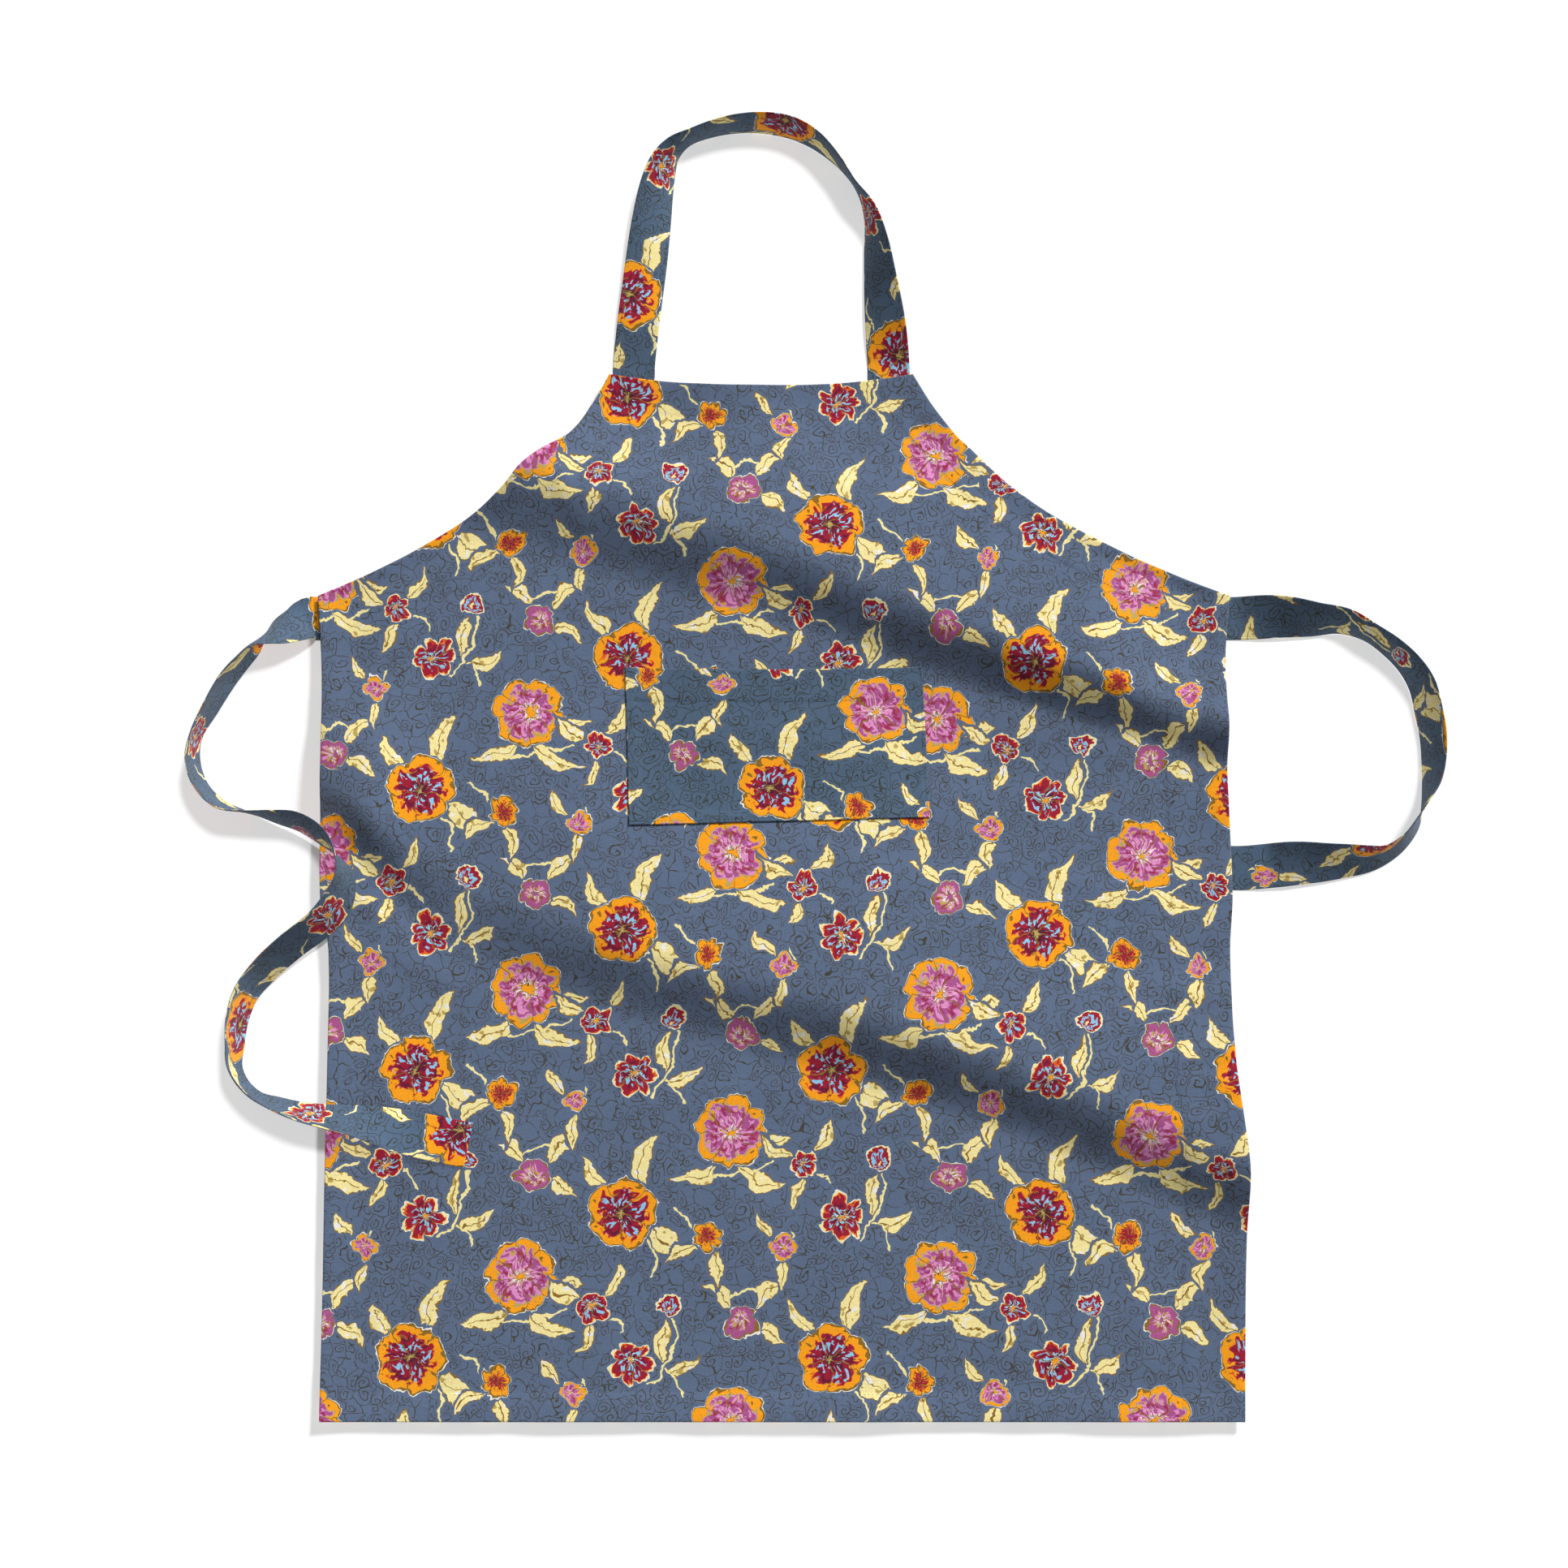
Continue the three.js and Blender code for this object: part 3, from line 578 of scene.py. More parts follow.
# Places along a length, close together at its two edges and at each seam
def levels(length, step, seams, edges=(True, True)):
    marks = {0.0, length}
    for near in finish["edgeRows"]:
        if edges[0]:
            marks.add(near * mm)
        if edges[1]:
            marks.add(length - near * mm)
    for seam in seams:
        marks.update(seam + off * mm for off in finish["seamRows"])
    marks = sorted(m for m in marks if 0 <= m <= length)
    places = []
    for a, b in zip(marks, marks[1:]):
        count = max(1, math.ceil((b - a) / step - 1e-6))
        places.extend(a + (b - a) * np.arange(count) / count)
    return np.array(places + [length])


# Upper and lower heights of a cloth, rounded at its folded edges and drawn in along its seams
def clothLayers(lift, thickness, inset, seamGap):
    rounding = edgeRounding(inset, finish["panelBend"])
    groove = finish["grooveDepth"] * np.exp(-((seamGap / finish["grooveWidth"]) ** 2))
    middle = lift + thickness * 0.5
    return middle + thickness * rounding - groove, middle - thickness * rounding


# 1 in a hem of this depth and 0 beyond it, with a soft step between
def hemShare(inset, depth):
    return 1 - ease((inset - depth) / panel["hemEase"] + 0.5)


# Flat cloth coordinates of a grid: its x and y, with the length that its folds take up
def clothUv(x, y, z):
    dz, dy = np.diff(z, axis=0), np.diff(y, axis=0)
    extraV = np.vstack([np.zeros((1, x.shape[1])), np.cumsum(np.hypot(dy, dz) - np.abs(dy), axis=0)])
    dz, dx = np.diff(z, axis=1), np.diff(x, axis=1)
    extraU = np.hstack([np.zeros((x.shape[0], 1)), np.cumsum(np.hypot(dx, dz) - np.abs(dx), axis=1)])
    middle = x.shape[1] // 2
    extraU = extraU - extraU[:, middle:middle + 1]
    return np.stack([x + extraU, y + extraV], -1)


def panelGrid():
    bottomHem, topHem, sideHem = panel["bottomHem"], panel["topHem"], panel["sideHem"]
    heights = levels(bibTop, panel["meshStep"], [bottomHem, bibTop - topHem])
    heights = np.sort(np.append(heights, sideHeight))
    climb = climbAt(heights)
    strip = levels(sideHem, panel["hemStep"], [sideHem], (True, False)) / sideHem
    innerWidth = skirtWidth - 2 * sideHem
    inner = levels(innerWidth, panel["meshStep"], [0, innerWidth], (False, False))[1:-1] / innerWidth
    edges = [np.stack(edgePoint(side, climb), -1) for side in (-1, 1)]
    hems = [np.stack(hemPoint(side, climb, facingStart(side)), -1) for side in (-1, 1)]
    wide = np.where(climb <= 1, sideHem, panel["armholeFacing"])
    parts = [lerp(edges[0], hems[0], s) for s in strip]
    parts += [lerp(hems[0], hems[1], t) for t in inner]
    parts += [lerp(edges[1], hems[1], s) for s in strip[::-1]]
    inStrip = [s * wide for s in strip]
    insets = inStrip + [wide + min(t, 1 - t) * innerWidth for t in inner] + inStrip[::-1]
    xy = np.stack(parts, 1)
    sideInset = np.stack(insets, 1)
    x, y = xy[..., 0], xy[..., 1]
    above, below = heights[:, None], bibTop - heights[:, None]
    y = dipped(x, y)
    wide = wide[:, None]
    seamGap = np.minimum(np.abs(above - bottomHem), np.abs(below - topHem))
    seamGap = np.minimum(seamGap, np.abs(sideInset - wide))
    inHem = np.maximum(hemShare(above, bottomHem), hemShare(below, topHem))
    inHem = np.maximum(inHem, hemShare(sideInset, wide))
    inset = np.minimum(np.minimum(sideInset, above), below)
    return x, y, inset, seamGap, inHem


def makePanel(materials):
    x, y, inset, seamGap, inHem = panelGrid()
    lift = clothLift(x, y)
    thickness = lerp(panel["thickness"], panel["hemThickness"], inHem)
    top, bottom = clothLayers(lift, thickness, inset, seamGap)
    uv = clothUv(x, y, lift)
    upper = inPlace(np.stack([x, y, top], -1))
    lower = inPlace(np.stack([x, y, np.maximum(bottom, 0)], -1))
    return gridSolid("cloth_panel", upper, lower, uv, uv, materials, inHem)


# The height of the panel's face, for what is sewn on it or lies on it
def panelTop(x, y):
    return clothLift(x, y) + panel["thickness"]


pocket = {
    "width": 0.243,
    "depth": 0.128,
    "rise": 0.473,
    "shift": -0.006,
    "bulge": 0.0052,
    "hem": 0.028,
    "stitchInset": 0.0025,
    "turnedEdge": 0.009,
    "lean": 0.005,
    "tilt": 0.007,
    "sag": 0.003,
    "seat": 0.0002,
    "meshStep": 0.0036,
    "printAt": (0.087, -0.319),
}


# A point of the pocket: u across from its left edge, v up from its bottom edge, both 0 to 1
def pocketPlace(u, v):
    x = pocket["shift"] + (u - 0.5) * pocket["width"] + (0.5 - v) * pocket["lean"]
    arch = 4 * u * (1 - u)
    y = pocket["rise"] + v * pocket["depth"] + (1 - v) * (u - 0.5) * pocket["tilt"]
    return x, y - v * arch * pocket["sag"]


# How far the pocket stands off the panel: nothing at its sewn edges, most at the middle of its mouth
def pocketGap(u, v):
    sewn, rise, climb = 0.02, 0.28, 0.6
    fromSides = ease((u - sewn) / rise) * ease((1 - sewn - u) / rise)
    return pocket["seat"] + pocket["bulge"] * fromSides * ease((v - sewn) / climb)


def makePocket(materials):
    width, depth, hem = pocket["width"], pocket["depth"], pocket["hem"]
    stitch, edge = pocket["stitchInset"], pocket["turnedEdge"]
    across = levels(width, pocket["meshStep"], [stitch, edge, width - stitch, width - edge])
    up = levels(depth, pocket["meshStep"], [stitch, edge, depth - hem])
    right, above = np.meshgrid(across, up)
    u, v = right / width, above / depth
    x, y = pocketPlace(u, v)
    below = depth - above
    sewnInset = np.minimum(np.minimum(right, width - right), above)
    doubled = np.maximum(hemShare(below, hem), hemShare(sewnInset, edge))
    thickness = lerp(panel["thickness"], panel["hemThickness"], doubled)
    seamGap = np.minimum(np.abs(sewnInset - stitch), np.abs(below - hem))
    lift = panelTop(x, y) + pocketGap(u, v)
    top, bottom = clothLayers(lift, thickness, np.minimum(sewnInset, below), seamGap)
    uv = np.stack([right, above], -1) + np.array(pocket["printAt"])
    upper = inPlace(np.stack([x, y, top], -1))
    lower = inPlace(np.stack([x, y, bottom], -1))
    return gridSolid("patch_pocket", upper, lower, uv, uv, materials)


# Straps: a mid-line laid on the table, a turn that raises the left-hand edge and a curl of the section

def smoothLine(points, fine):
    points = np.asarray(points, float)
    padded = np.vstack([2 * points[0] - points[1], points, 2 * points[-1] - points[-2]])
    found = []
    for i in range(1, len(points)):
        p0, p1, p2, p3 = padded[i - 1:i + 3]
        d0, d1, d2 = (max(np.linalg.norm(b - a), 1e-6) ** 0.5 for a, b in ((p0, p1), (p1, p2), (p2, p3)))
        m1 = ((p1 - p0) / d0 - (p2 - p0) / (d0 + d1) + (p2 - p1) / d1) * d1
        m2 = ((p2 - p1) / d1 - (p3 - p1) / (d1 + d2) + (p3 - p2) / d2) * d1
        found.append(cubic(p1, p2, m1, m2, (np.arange(fine) / fine)[:, None]))
    return np.vstack(found + [points[-1:]])


# Evenly spaced stations along a route: place, left-hand side, turn, curl and distance
def stationsOf(rows):
    rows = np.asarray(rows, float)
    fine = 30
    line = smoothLine(rows[:, :2], fine)
    along = distanceAlong(line)
    rowAt = along[::fine]
    ends = np.array(finish["edgeRows"][:3]) * mm
    middle = np.linspace(0, along[-1], math.ceil(along[-1] / bands["step"]) + 1)
    s = np.sort(np.concatenate([middle, ends, along[-1] - ends]))
    x, y = np.interp(s, along, line[:, 0]), np.interp(s, along, line[:, 1])
    spread = 5 * mm
    dx = np.interp(s + spread, along, line[:, 0]) - np.interp(s - spread, along, line[:, 0])
    dy = np.interp(s + spread, along, line[:, 1]) - np.interp(s - spread, along, line[:, 1])
    length = np.hypot(dx, dy)
    turn = np.radians(smoothThrough(rowAt, rows[:, 2], s))
    curl = np.radians(np.maximum(smoothThrough(rowAt, rows[:, 3], s), bands["leastCurl"]))
    return {"s": s, "x": x, "y": y, "sx": -dy / length, "sy": dx / length, "turn": turn, "curl": curl}


# The height that a strap has to clear: the panel where it lies over it, else the table
def supportUnder(x, y, width):
    beside = edgePoint(-1, clamp01(y / sideHeight))[0] - width / 3
    return np.where(x > beside, panelTop(x, y) + bands["layGap"], 0.0)


# The greatest or the mean of the values at the stations around each one
def around(values, pick, reach=7):
    padded = np.pad(values, reach, mode="edge")
    return pick([padded[k:k + len(values)] for k in range(2 * reach + 1)], axis=0)


def bandSupport(line, width, overPanelAfter, laid):
    half = width / 2 * np.maximum(bands["leastFoot"], np.abs(np.cos(line["turn"])))
    need = np.zeros_like(line["s"])
    for share in np.linspace(-1, 1, 7):
        x, y = line["x"] + line["sx"] * half * share, line["y"] + line["sy"] * half * share
        need = np.maximum(need, supportUnder(x, y, width))
    need = np.where(line["s"] < overPanelAfter, 0, need)
    free = np.minimum(line["s"] - bands["tuckDepth"], line["s"][-1] - line["s"] - laid)
    stand = bands["stand"] * np.cos(line["turn"]) ** 2 * ease(free / bands["standEase"])
    return around(around(need, np.max), np.mean) + stand


# Points of a strap's face or reverse: across is 0.5 at its left-hand edge and -0.5 at its right-hand edge
def bandPoints(line, support, width, across, offset):
    curl = line["curl"][:, None]
    radius = width / curl
    cos, sin = np.cos(line["turn"])[:, None], np.sin(line["turn"])[:, None]

    def section(across, offset):
        a = (radius + offset) * np.sin(curl * across)
        b = (radius + offset) * np.cos(curl * across) - radius * np.cos(curl / 4)
        return a * cos - b * sin, a * sin + b * cos

    side, up = section(across[None, :], offset)
    _, middleUp = section(np.linspace(-0.5, 0.5, 9), 0)
    lowest = middleUp.min(axis=1)[:, None] - bands["thickness"] / 2
    x = line["x"][:, None] + line["sx"][:, None] * side
    y = line["y"][:, None] + line["sy"][:, None] * side
    return np.stack([x, y, support[:, None] + up - lowest], -1)


# Laid is the length at its far end that lies under or on the panel
def makeBand(name, rows, width, overPanelAfter, laid, printAt):
    line = stationsOf(rows)
    support = bandSupport(line, width, overPanelAfter, laid)
    fromEdge = levels(width, width / bands["facets"], [])
    across = 0.5 - fromEdge / width
    endInset = np.minimum(line["s"], line["s"][-1] - line["s"])[:, None]
    inset = np.minimum(endInset, np.minimum(fromEdge, width - fromEdge)[None, :])
    half = bands["thickness"] * edgeRounding(inset, finish["bandBend"])
    upper = bandPoints(line, support, width, across, half)
    lower = bandPoints(line, support, width, across, -half)
    s, edge = np.meshgrid(line["s"], fromEdge, indexing="ij")
    upperUv = np.stack([printAt[0] + edge, printAt[1] + s], -1)
    shiftX, shiftY = bands["reversePrint"]
    lowerUv = np.stack([printAt[0] + shiftX - edge, printAt[1] + shiftY + s], -1)
    # rows run along the strap and columns from its left-hand edge, so the face looks up
    piece = gridSolid(name, inPlace(upper), inPlace(lower), upperUv, lowerUv, [doubleCloth, doubleCloth])
    return piece, line, support


def neckRows():
    rows = [
        (panel["bibShift"] + across * neckStrap["spread"], bibTop + up * neckStrap["loopHeight"], turn, curl)
        for across, up, turn, curl in neckStrap["route"]
    ]
    (x0, y0, *_), (x1, y1, *_) = rows[0], rows[-1]
    tuck, root = bands["tuckDepth"], bands["flatRoot"]
    start = [(x0, y0 - tuck, 0, 0), rows[0], (x0, y0 + root, 0, 0)]
    return start + rows[1:-1] + [(x1, y1 + root, 0, 0), rows[-1], (x1, y1 - tuck, 0, 0)]


def tieRows(side, tie):
    rows = [
        (side * (skirtWidth / 2 + out * tie["reach"]), up * sideHeight, turn, curl)
        for out, up, turn, curl in tie["route"]
    ]
    edge = float(edgePoint(side, bands["tieRise"] / sideHeight)[0])
    root = (-bands["tuckDepth"], 0, bands["flatRoot"])
    start = [(edge + side * out, bands["tieRise"], 0, 0) for out in root]
    tail = [(returnX - share * tie["hidden"], returnY, 180, 0) for share in (0, 0.5, 1)]
    return start + rows + (tail if tie["hidden"] > 0 else [])


# Threads

thread = {
    "stitch": 0.0023,
    "gap": 0.0009,
    "radius": 0.00018,
    "taper": 0.45,
    "bow": 0.9,
    "dip": 1.9,
    "dark": (0.036, 0.050, 0.088, 1),
    "light": (0.062, 0.085, 0.140, 1),
    "sides": 5,
    "rings": 4,
}


# One run of stitches along a line of points, each a short thread that dips into the cloth at its ends
def stitchRun(points, normals):
    along = distanceAlong(points)
    pitch = thread["stitch"] + thread["gap"]
    count = int(along[-1] // pitch)
    if count < 1:
        return None
    middles = (np.arange(count) + 0.5) * along[-1] / count
    half = thread["stitch"] / 2

    def at(s, values):
        return np.stack([np.interp(s, along, values[:, k]) for k in range(3)], -1)

    centre = at(middles, points)
    direction = at(middles + half, points) - at(middles - half, points)
    direction /= np.linalg.norm(direction, axis=1)[:, None]
    up = at(middles, normals)
    up -= direction * (up * direction).sum(1)[:, None]
    up /= np.linalg.norm(up, axis=1)[:, None]
    side = np.cross(up, direction)
    shares = np.linspace(-1, 1, thread["rings"])
    angles = 2 * math.pi * np.arange(thread["sides"]) / thread["sides"]
    local = []
    for share in shares:
        radius = thread["radius"] * (1 - thread["taper"] * abs(share))
        bow = thread["radius"] * (thread["bow"] - thread["dip"] * share * share)
        for angle in angles:
            local.append((share * half, radius * math.cos(angle), radius * math.sin(angle) + bow))
    local = np.array(local)
    placed = centre[:, None, :] + direction[:, None, :] * local[None, :, :1]
    placed = placed + side[:, None, :] * local[None, :, 1:2] + up[:, None, :] * local[None, :, 2:3]
    return placed.reshape(-1, 3)


def makeStitches(name, runs, material):
    points = np.vstack([r for r in (stitchRun(p, n) for p, n in runs) if r is not None])
    sides, rings = thread["sides"], thread["rings"]
    size = sides * rings
    quads = []
    for low in range(0, size - sides, sides):
        for k in range(sides):
            beside = (k + 1) % sides
            quads.append((low + k, low + beside, low + sides + beside, low + sides + k))
    caps = [tuple(range(sides))[::-1], tuple(range(size - sides, size))]
    count = len(points) // size
    faces = [tuple(i * size + k for k in face) for i in range(count) for face in quads + caps]
    return makePiece(name, points, faces, [material])


upwards = np.array([0.0, 0.0, 1.0])


seams = {
    "insideHem": 0.0012,
    "topStitch": 0.0045,
    "rootBox": 0.014,
    "neckBox": 0.019,
    "boxMargin": 0.002,
    "bandInset": 0.0028,
    # how deep the threads lie in the cloth, and how closely the cloth's height is read along them
    "sunk": 0.0003,
    "bandSunk": 0.0001,
    "reading": 0.0015,
}


# A run on the panel's face through points in its own x and y
def panelRun(xs, ys):
    xs, ys = np.asarray(xs, float), np.asarray(ys, float)
    along = distanceAlong(np.stack([xs, ys], -1))
    at = np.linspace(0, along[-1], max(2, int(along[-1] / seams["reading"])))
    x, y = np.interp(at, along, xs), np.interp(at, along, ys)
    z = clothLift(x, y) + panel["hemThickness"] - seams["sunk"]
    points = inPlace(np.stack([x, y, z], -1))
    near = 0.003
    slopeX = (clothLift(x + near, y) - clothLift(x - near, y)) / (2 * near)
    slopeY = (clothLift(x, y + near) - clothLift(x, y - near)) / (2 * near)
    normals = np.stack([-slopeX, -slopeY, np.ones_like(x)], -1)
    return points, normals / np.linalg.norm(normals, axis=1)[:, None]


# A level run from edge to edge at one height
def levelRun(y, margin, count):
    x = [float(edgePoint(side, climbAt(y))[0]) - side * margin for side in (-1, 1)]
    xs = np.linspace(*x, count)
    return panelRun(xs, dipped(xs, np.full(count, y)))


def panelRuns():
    inside, margin = seams["insideHem"], seams["boxMargin"]
    runs = [levelRun(panel["bottomHem"] - inside, 0.0015, 400)]
    for side in (-1, 1):
        start = facingStart(side)
        climb = np.linspace(0.004, 1, 300)
        x, y = hemPoint(side, climb, start)
        runs.append(panelRun(x + side * inside, y))
        climb = np.linspace(1.0, 1.995, 260)
        x, y = hemPoint(side, climb, start)
        nx, ny = inwardNormal(side, start + (2 - start) * (climb - 1))
        x, y = x - nx * inside, y - ny * inside
        runs.append(panelRun(x, dipped(x, y)))
        # the box where the tie's end is sewn beneath the edge
        edge, half = float(edgePoint(side, bands["tieRise"] / sideHeight)[0]), bands["tieWidth"] / 2 - margin
        x0, x1 = edge - side * margin, edge - side * seams["rootBox"]
        low, high = bands["tieRise"] - half, bands["tieRise"] + half
        runs.append(panelRun([x0, x1, x1, x0, x0, x1], [low, low, high, high, low, high]))
    for below in (seams["topStitch"], panel["topHem"] - inside):
        runs.append(levelRun(bibTop - below, margin, 200))
    half, near, deep = neckStrap["width"] / 2 - margin, seams["topStitch"], seams["neckBox"]
    for middle in neckX:
        x = middle + half * np.array([-1, -1, 1, 1])
        runs.append(panelRun(x, dipped(x, bibTop - np.array([near, deep, deep, near]))))
    return runs


def pocketRuns():
    stitch = pocket["stitchInset"]
    u0, v0 = stitch / pocket["width"], stitch / pocket["depth"]
    hem = 1 - (pocket["hem"] - seams["insideHem"]) / pocket["depth"]
    count = 120
    even, flat = np.linspace(0, 1, count), np.ones(count)
    lines = [
        (flat * u0, lerp(0.985, v0, even)),
        (lerp(u0, 1 - u0, even), flat * v0),
        (flat * (1 - u0), lerp(v0, 0.985, even)),
        (lerp(0.006, 0.994, even), flat * hem),
    ]
    runs = []
    for u, v in lines:
        x, y = pocketPlace(u, v)
        z = panelTop(x, y) + pocketGap(u, v) + panel["hemThickness"] - seams["sunk"]
        runs.append((inPlace(np.stack([x, y, z], -1)), np.tile(upwards, (count, 1))))
    return runs


# A row of stitches near the strap's edges, on its face or its reverse
def bandRuns(line, support, width, side):
    runs = []
    inset = seams["bandInset"] / width
    for across in (0.5 - inset, inset - 0.5):
        face = bandPoints(line, support, width, np.array([across]), side * bands["thickness"] / 2)[:, 0]
        middle = bandPoints(line, support, width, np.array([across]), 0)[:, 0]
        normals = face - middle
        normals /= np.linalg.norm(normals, axis=1)[:, None]
        runs.append((inPlace(face - normals * seams["bandSunk"]), normals))
    return runs


# The printed cloth. Lengths of the print are in millimetres of cloth

inks = {
    "ground": (92, 108, 135),
    "scroll": (66, 61, 44),
    "cream": (246, 230, 160),
    "highlight": (240, 237, 228),
    "gold": (190, 164, 92),
    "olive": (140, 104, 36),
    "darkOlive": (92, 72, 30),
    "orange": (250, 162, 24),
    "burntOrange": (224, 96, 28),
    "crimson": (158, 24, 50),
    "plum": (88, 18, 52),
    "skyBlue": (142, 202, 234),
    "mauve": (170, 84, 140),
    "pink": (226, 144, 196),
}

printPlan = {
    # the design repeats every width across, and every height up with half a drop from one column to the next
    "width": 166,
    "height": 226,
    # the blocks waver as if drawn by hand: sizes and amounts
    "warps": [(15, 8.0), (3.4, 2.4)],
    "patch": 7,
    "clearance": 2.4,
    "halo": 0.5,
    "outline": 0.7,
    "veinWidth": 0.45,
    "stemWidth": 0.95,
}

# The thin curly lines of the ground: spirals in irregular cells, and lines between the cells
scrolls = {
    "cell": 11.0,
    "sway": [(15, 9.0), (4.5, 1.5)],
    "pitch": 3.1,
    "reach": 4.9,
    "halfLine": 0.37,
    "joinHalfLine": 0.30,
    "strength": 0.94,
    "spiralShare": 0.82,
}

# Rings of each kind of blossom: from which share of its radius, in which ink
broadRings = [(0, "gold"), (0.06, "darkOlive"), (0.1, "plum"), (0.22, "crimson"), (0.68, "burntOrange"),
              (0.72, "orange"), (0.95, "olive")]
starRings = [(0, "orange"), (0.1, "darkOlive"), (0.14, "highlight"), (0.2, "plum"), (0.32, "crimson"),
             (0.88, "burntOrange"), (0.94, "cream")]
mauveRings = [(0, "orange"), (0.1, "darkOlive"), (0.14, "highlight"), (0.2, "pink"), (0.32, "mauve"),
              (0.7, "pink"), (0.75, "gold"), (0.82, "orange"), (0.96, "olive")]
paleRings = [(0, "mauve"), (0.22, "highlight"), (0.34, "gold"), (0.55, "mauve"), (0.92, "olive")]
sunRings = [(0, "crimson"), (0.34, "burntOrange"), (0.45, "orange"), (0.88, "olive")]
leafTones = [(0, "gold"), (0.31, "cream"), (0.68, "highlight")]
budRings = [(0, "cream"), (0.16, "crimson"), (0.42, "skyBlue"), (0.66, "crimson"), (0.92, "cream")]

# Each spray of the design: its middle, its blossoms, then leaves and stems from where they start.
# A blossom has its middle, a count of petals, a radius, its round share, a turn, its rings and a streak ink.
# A leaf has a turn in degrees, a length, a half width and a bend, and a stem a turn, a length and a bend
sprays = [
    {
        "at": (38, 48),
        "blossoms": [((0, 0), 5, 28, 0.84, 12, broadRings, "skyBlue")],
        "leaves": [(14, 18, 70, 48, 7.6, 8), (23, -11, -28, 36, 10.0, -5), (-12, 20, 128, 34, 6.4, 5)],
        "stems": [(16, -18, -74, 32, 5)],
    },
    {
        "at": (124, 112),
        "blossoms": [((0, 0), 8, 29, 0.86, 30, mauveRings, "pink")],
        "leaves": [(-10, -26, 196, 40, 6.8, 5), (5, -27, -20, 44, 7.2, -6), (25, -18, 26, 30, 5.8, 4)],
        "stems": [(-40, -35, 8, 76, -4)],
    },
    {
        "at": (46, 158),
        "blossoms": [
            ((0, 0), 7, 18, 0.58, 0, starRings, "skyBlue"),
            ((29, 42), 1, 13, 0.24, 66, budRings, None),
        ],
        "leaves": [(25, 0, 82, 36, 5.6, 4), (28, -6, 24, 30, 6.0, -4)],
        "stems": [(13, -17, 70, 58, -8), (27, -4, -60, 24, 3)],
    },
    {
        "at": (132, 190),
        "blossoms": [((0, 0), 5, 13.5, 0.76, 50, paleRings, "pink")],
        "leaves": [(11, 10, 40, 34, 6.0, 5), (-8, 11, 142, 28, 5.6, -4), (12, -5, -30, 27, 5.4, 4)],
        "stems": [(-12, 16, 4, 36, 7)],
    },
    {
        "at": (106, 30),
        "blossoms": [((0, 0), 6, 12.5, 0.72, 20, sunRings, "crimson")],
        "leaves": [(-9, -8, 214, 30, 5.4, -5), (0, -11, 280, 30, 5.4, 4)],
        "stems": [(-10, -10, 118, 38, -6)],
    },
    {
        "at": (166, 22),
        "blossoms": [((0, 0), 4, 10.5, 0.66, 0, mauveRings, "pink")],
        "leaves": [(-8, 8, 128, 26, 4.8, 3), (2, -10, 262, 26, 4.6, -3)],
        "stems": [(-6, -8, 60, 24, -6)],
    },
    {
        "at": (15, 200),
        "blossoms": [((0, 0), 5, 12, 0.62, 40, starRings, "skyBlue")],
        "leaves": [(-10, 7, 148, 29, 5.6, 4), (8, 10, 62, 30, 5.4, -4), (-2, -11, 248, 26, 4.6, 3)],
        "stems": [(9, -6, -36, 20, 4)],
    },
]

weave = {
    "yarn": 0.46,
    "yarnShade": 0.13,
    "slub": (90, 1700),
    "slubShade": 0.14,
    "wornShade": 0.1,
    "grainShade": 0.5,
    "reverseFade": 0.5,
    "reverseTone": (0.42, 0.46, 0.52, 1),
    "reverseHaze": 0.16,
    # the doubled cloth of the strap, ties and pocket is darker where the print is bare
    "doubledTint": (0.73, 0.84, 0.82),
    "bumpHeight": 0.00006,
    "roughness": 0.9,
    "sheen": 0.12,
    "sheenRoughness": 0.5,
    "specular": 0.2,
}


def ink(name):
    shares = [v / 255 for v in inks[name]]
    return tuple(v / 12.92 if v <= 0.04045 else ((v + 0.055) / 1.055) ** 2.4 for v in shares) + (1,)


# A value in a shader's node tree that can be added, multiplied and compared
class Wire:
    tree = None

    def __init__(self, socket):
        self.socket = socket

    def __add__(self, other):
        return calc("ADD", self, other)

    def __sub__(self, other):
        return calc("SUBTRACT", self, other)

    def __rsub__(self, other):
        return calc("SUBTRACT", other, self)

    def __mul__(self, other):
        return calc("MULTIPLY", self, other)

    def __truediv__(self, other):
        return calc("DIVIDE", self, other)

    __radd__, __rmul__ = __add__, __mul__


def feed(value, socket):
    if isinstance(value, Wire):
        Wire.tree.links.new(value.socket, socket)
    elif value is not None:
        socket.default_value = value


def addNode(kind, inputs=(), **settings):
    made = Wire.tree.nodes.new(kind)
    for key, value in settings.items():
        setattr(made, key, value)
    for key, value in dict(inputs).items():
        feed(value, made.inputs[key])
    return made


def calc(kind, *values):
    return Wire(addNode("ShaderNodeMath", dict(enumerate(values)), operation=kind).outputs[0])


def vector(kind, *values):
    made = addNode("ShaderNodeVectorMath", dict(enumerate(values)), operation=kind)
    return Wire(made.outputs["Value" if kind == "LENGTH" else "Vector"])


def apart(value):
    made = addNode("ShaderNodeSeparateXYZ", {0: value})
    return [Wire(s) for s in made.outputs]


def together(x, y):
    return Wire(addNode("ShaderNodeCombineXYZ", {0: x, 1: y}).outputs[0])


# 0 below low, 1 above high, smooth between
def step(value, low, high):
    made = addNode("ShaderNodeMapRange", {0: value, 1: low, 2: high}, interpolation_type="SMOOTHSTEP")
    return Wire(made.outputs[0])


def paint(under, over, cover):
    made = addNode("ShaderNodeMix", {0: cover, 6: under, 7: over}, data_type="RGBA")
    return Wire(made.outputs[2])


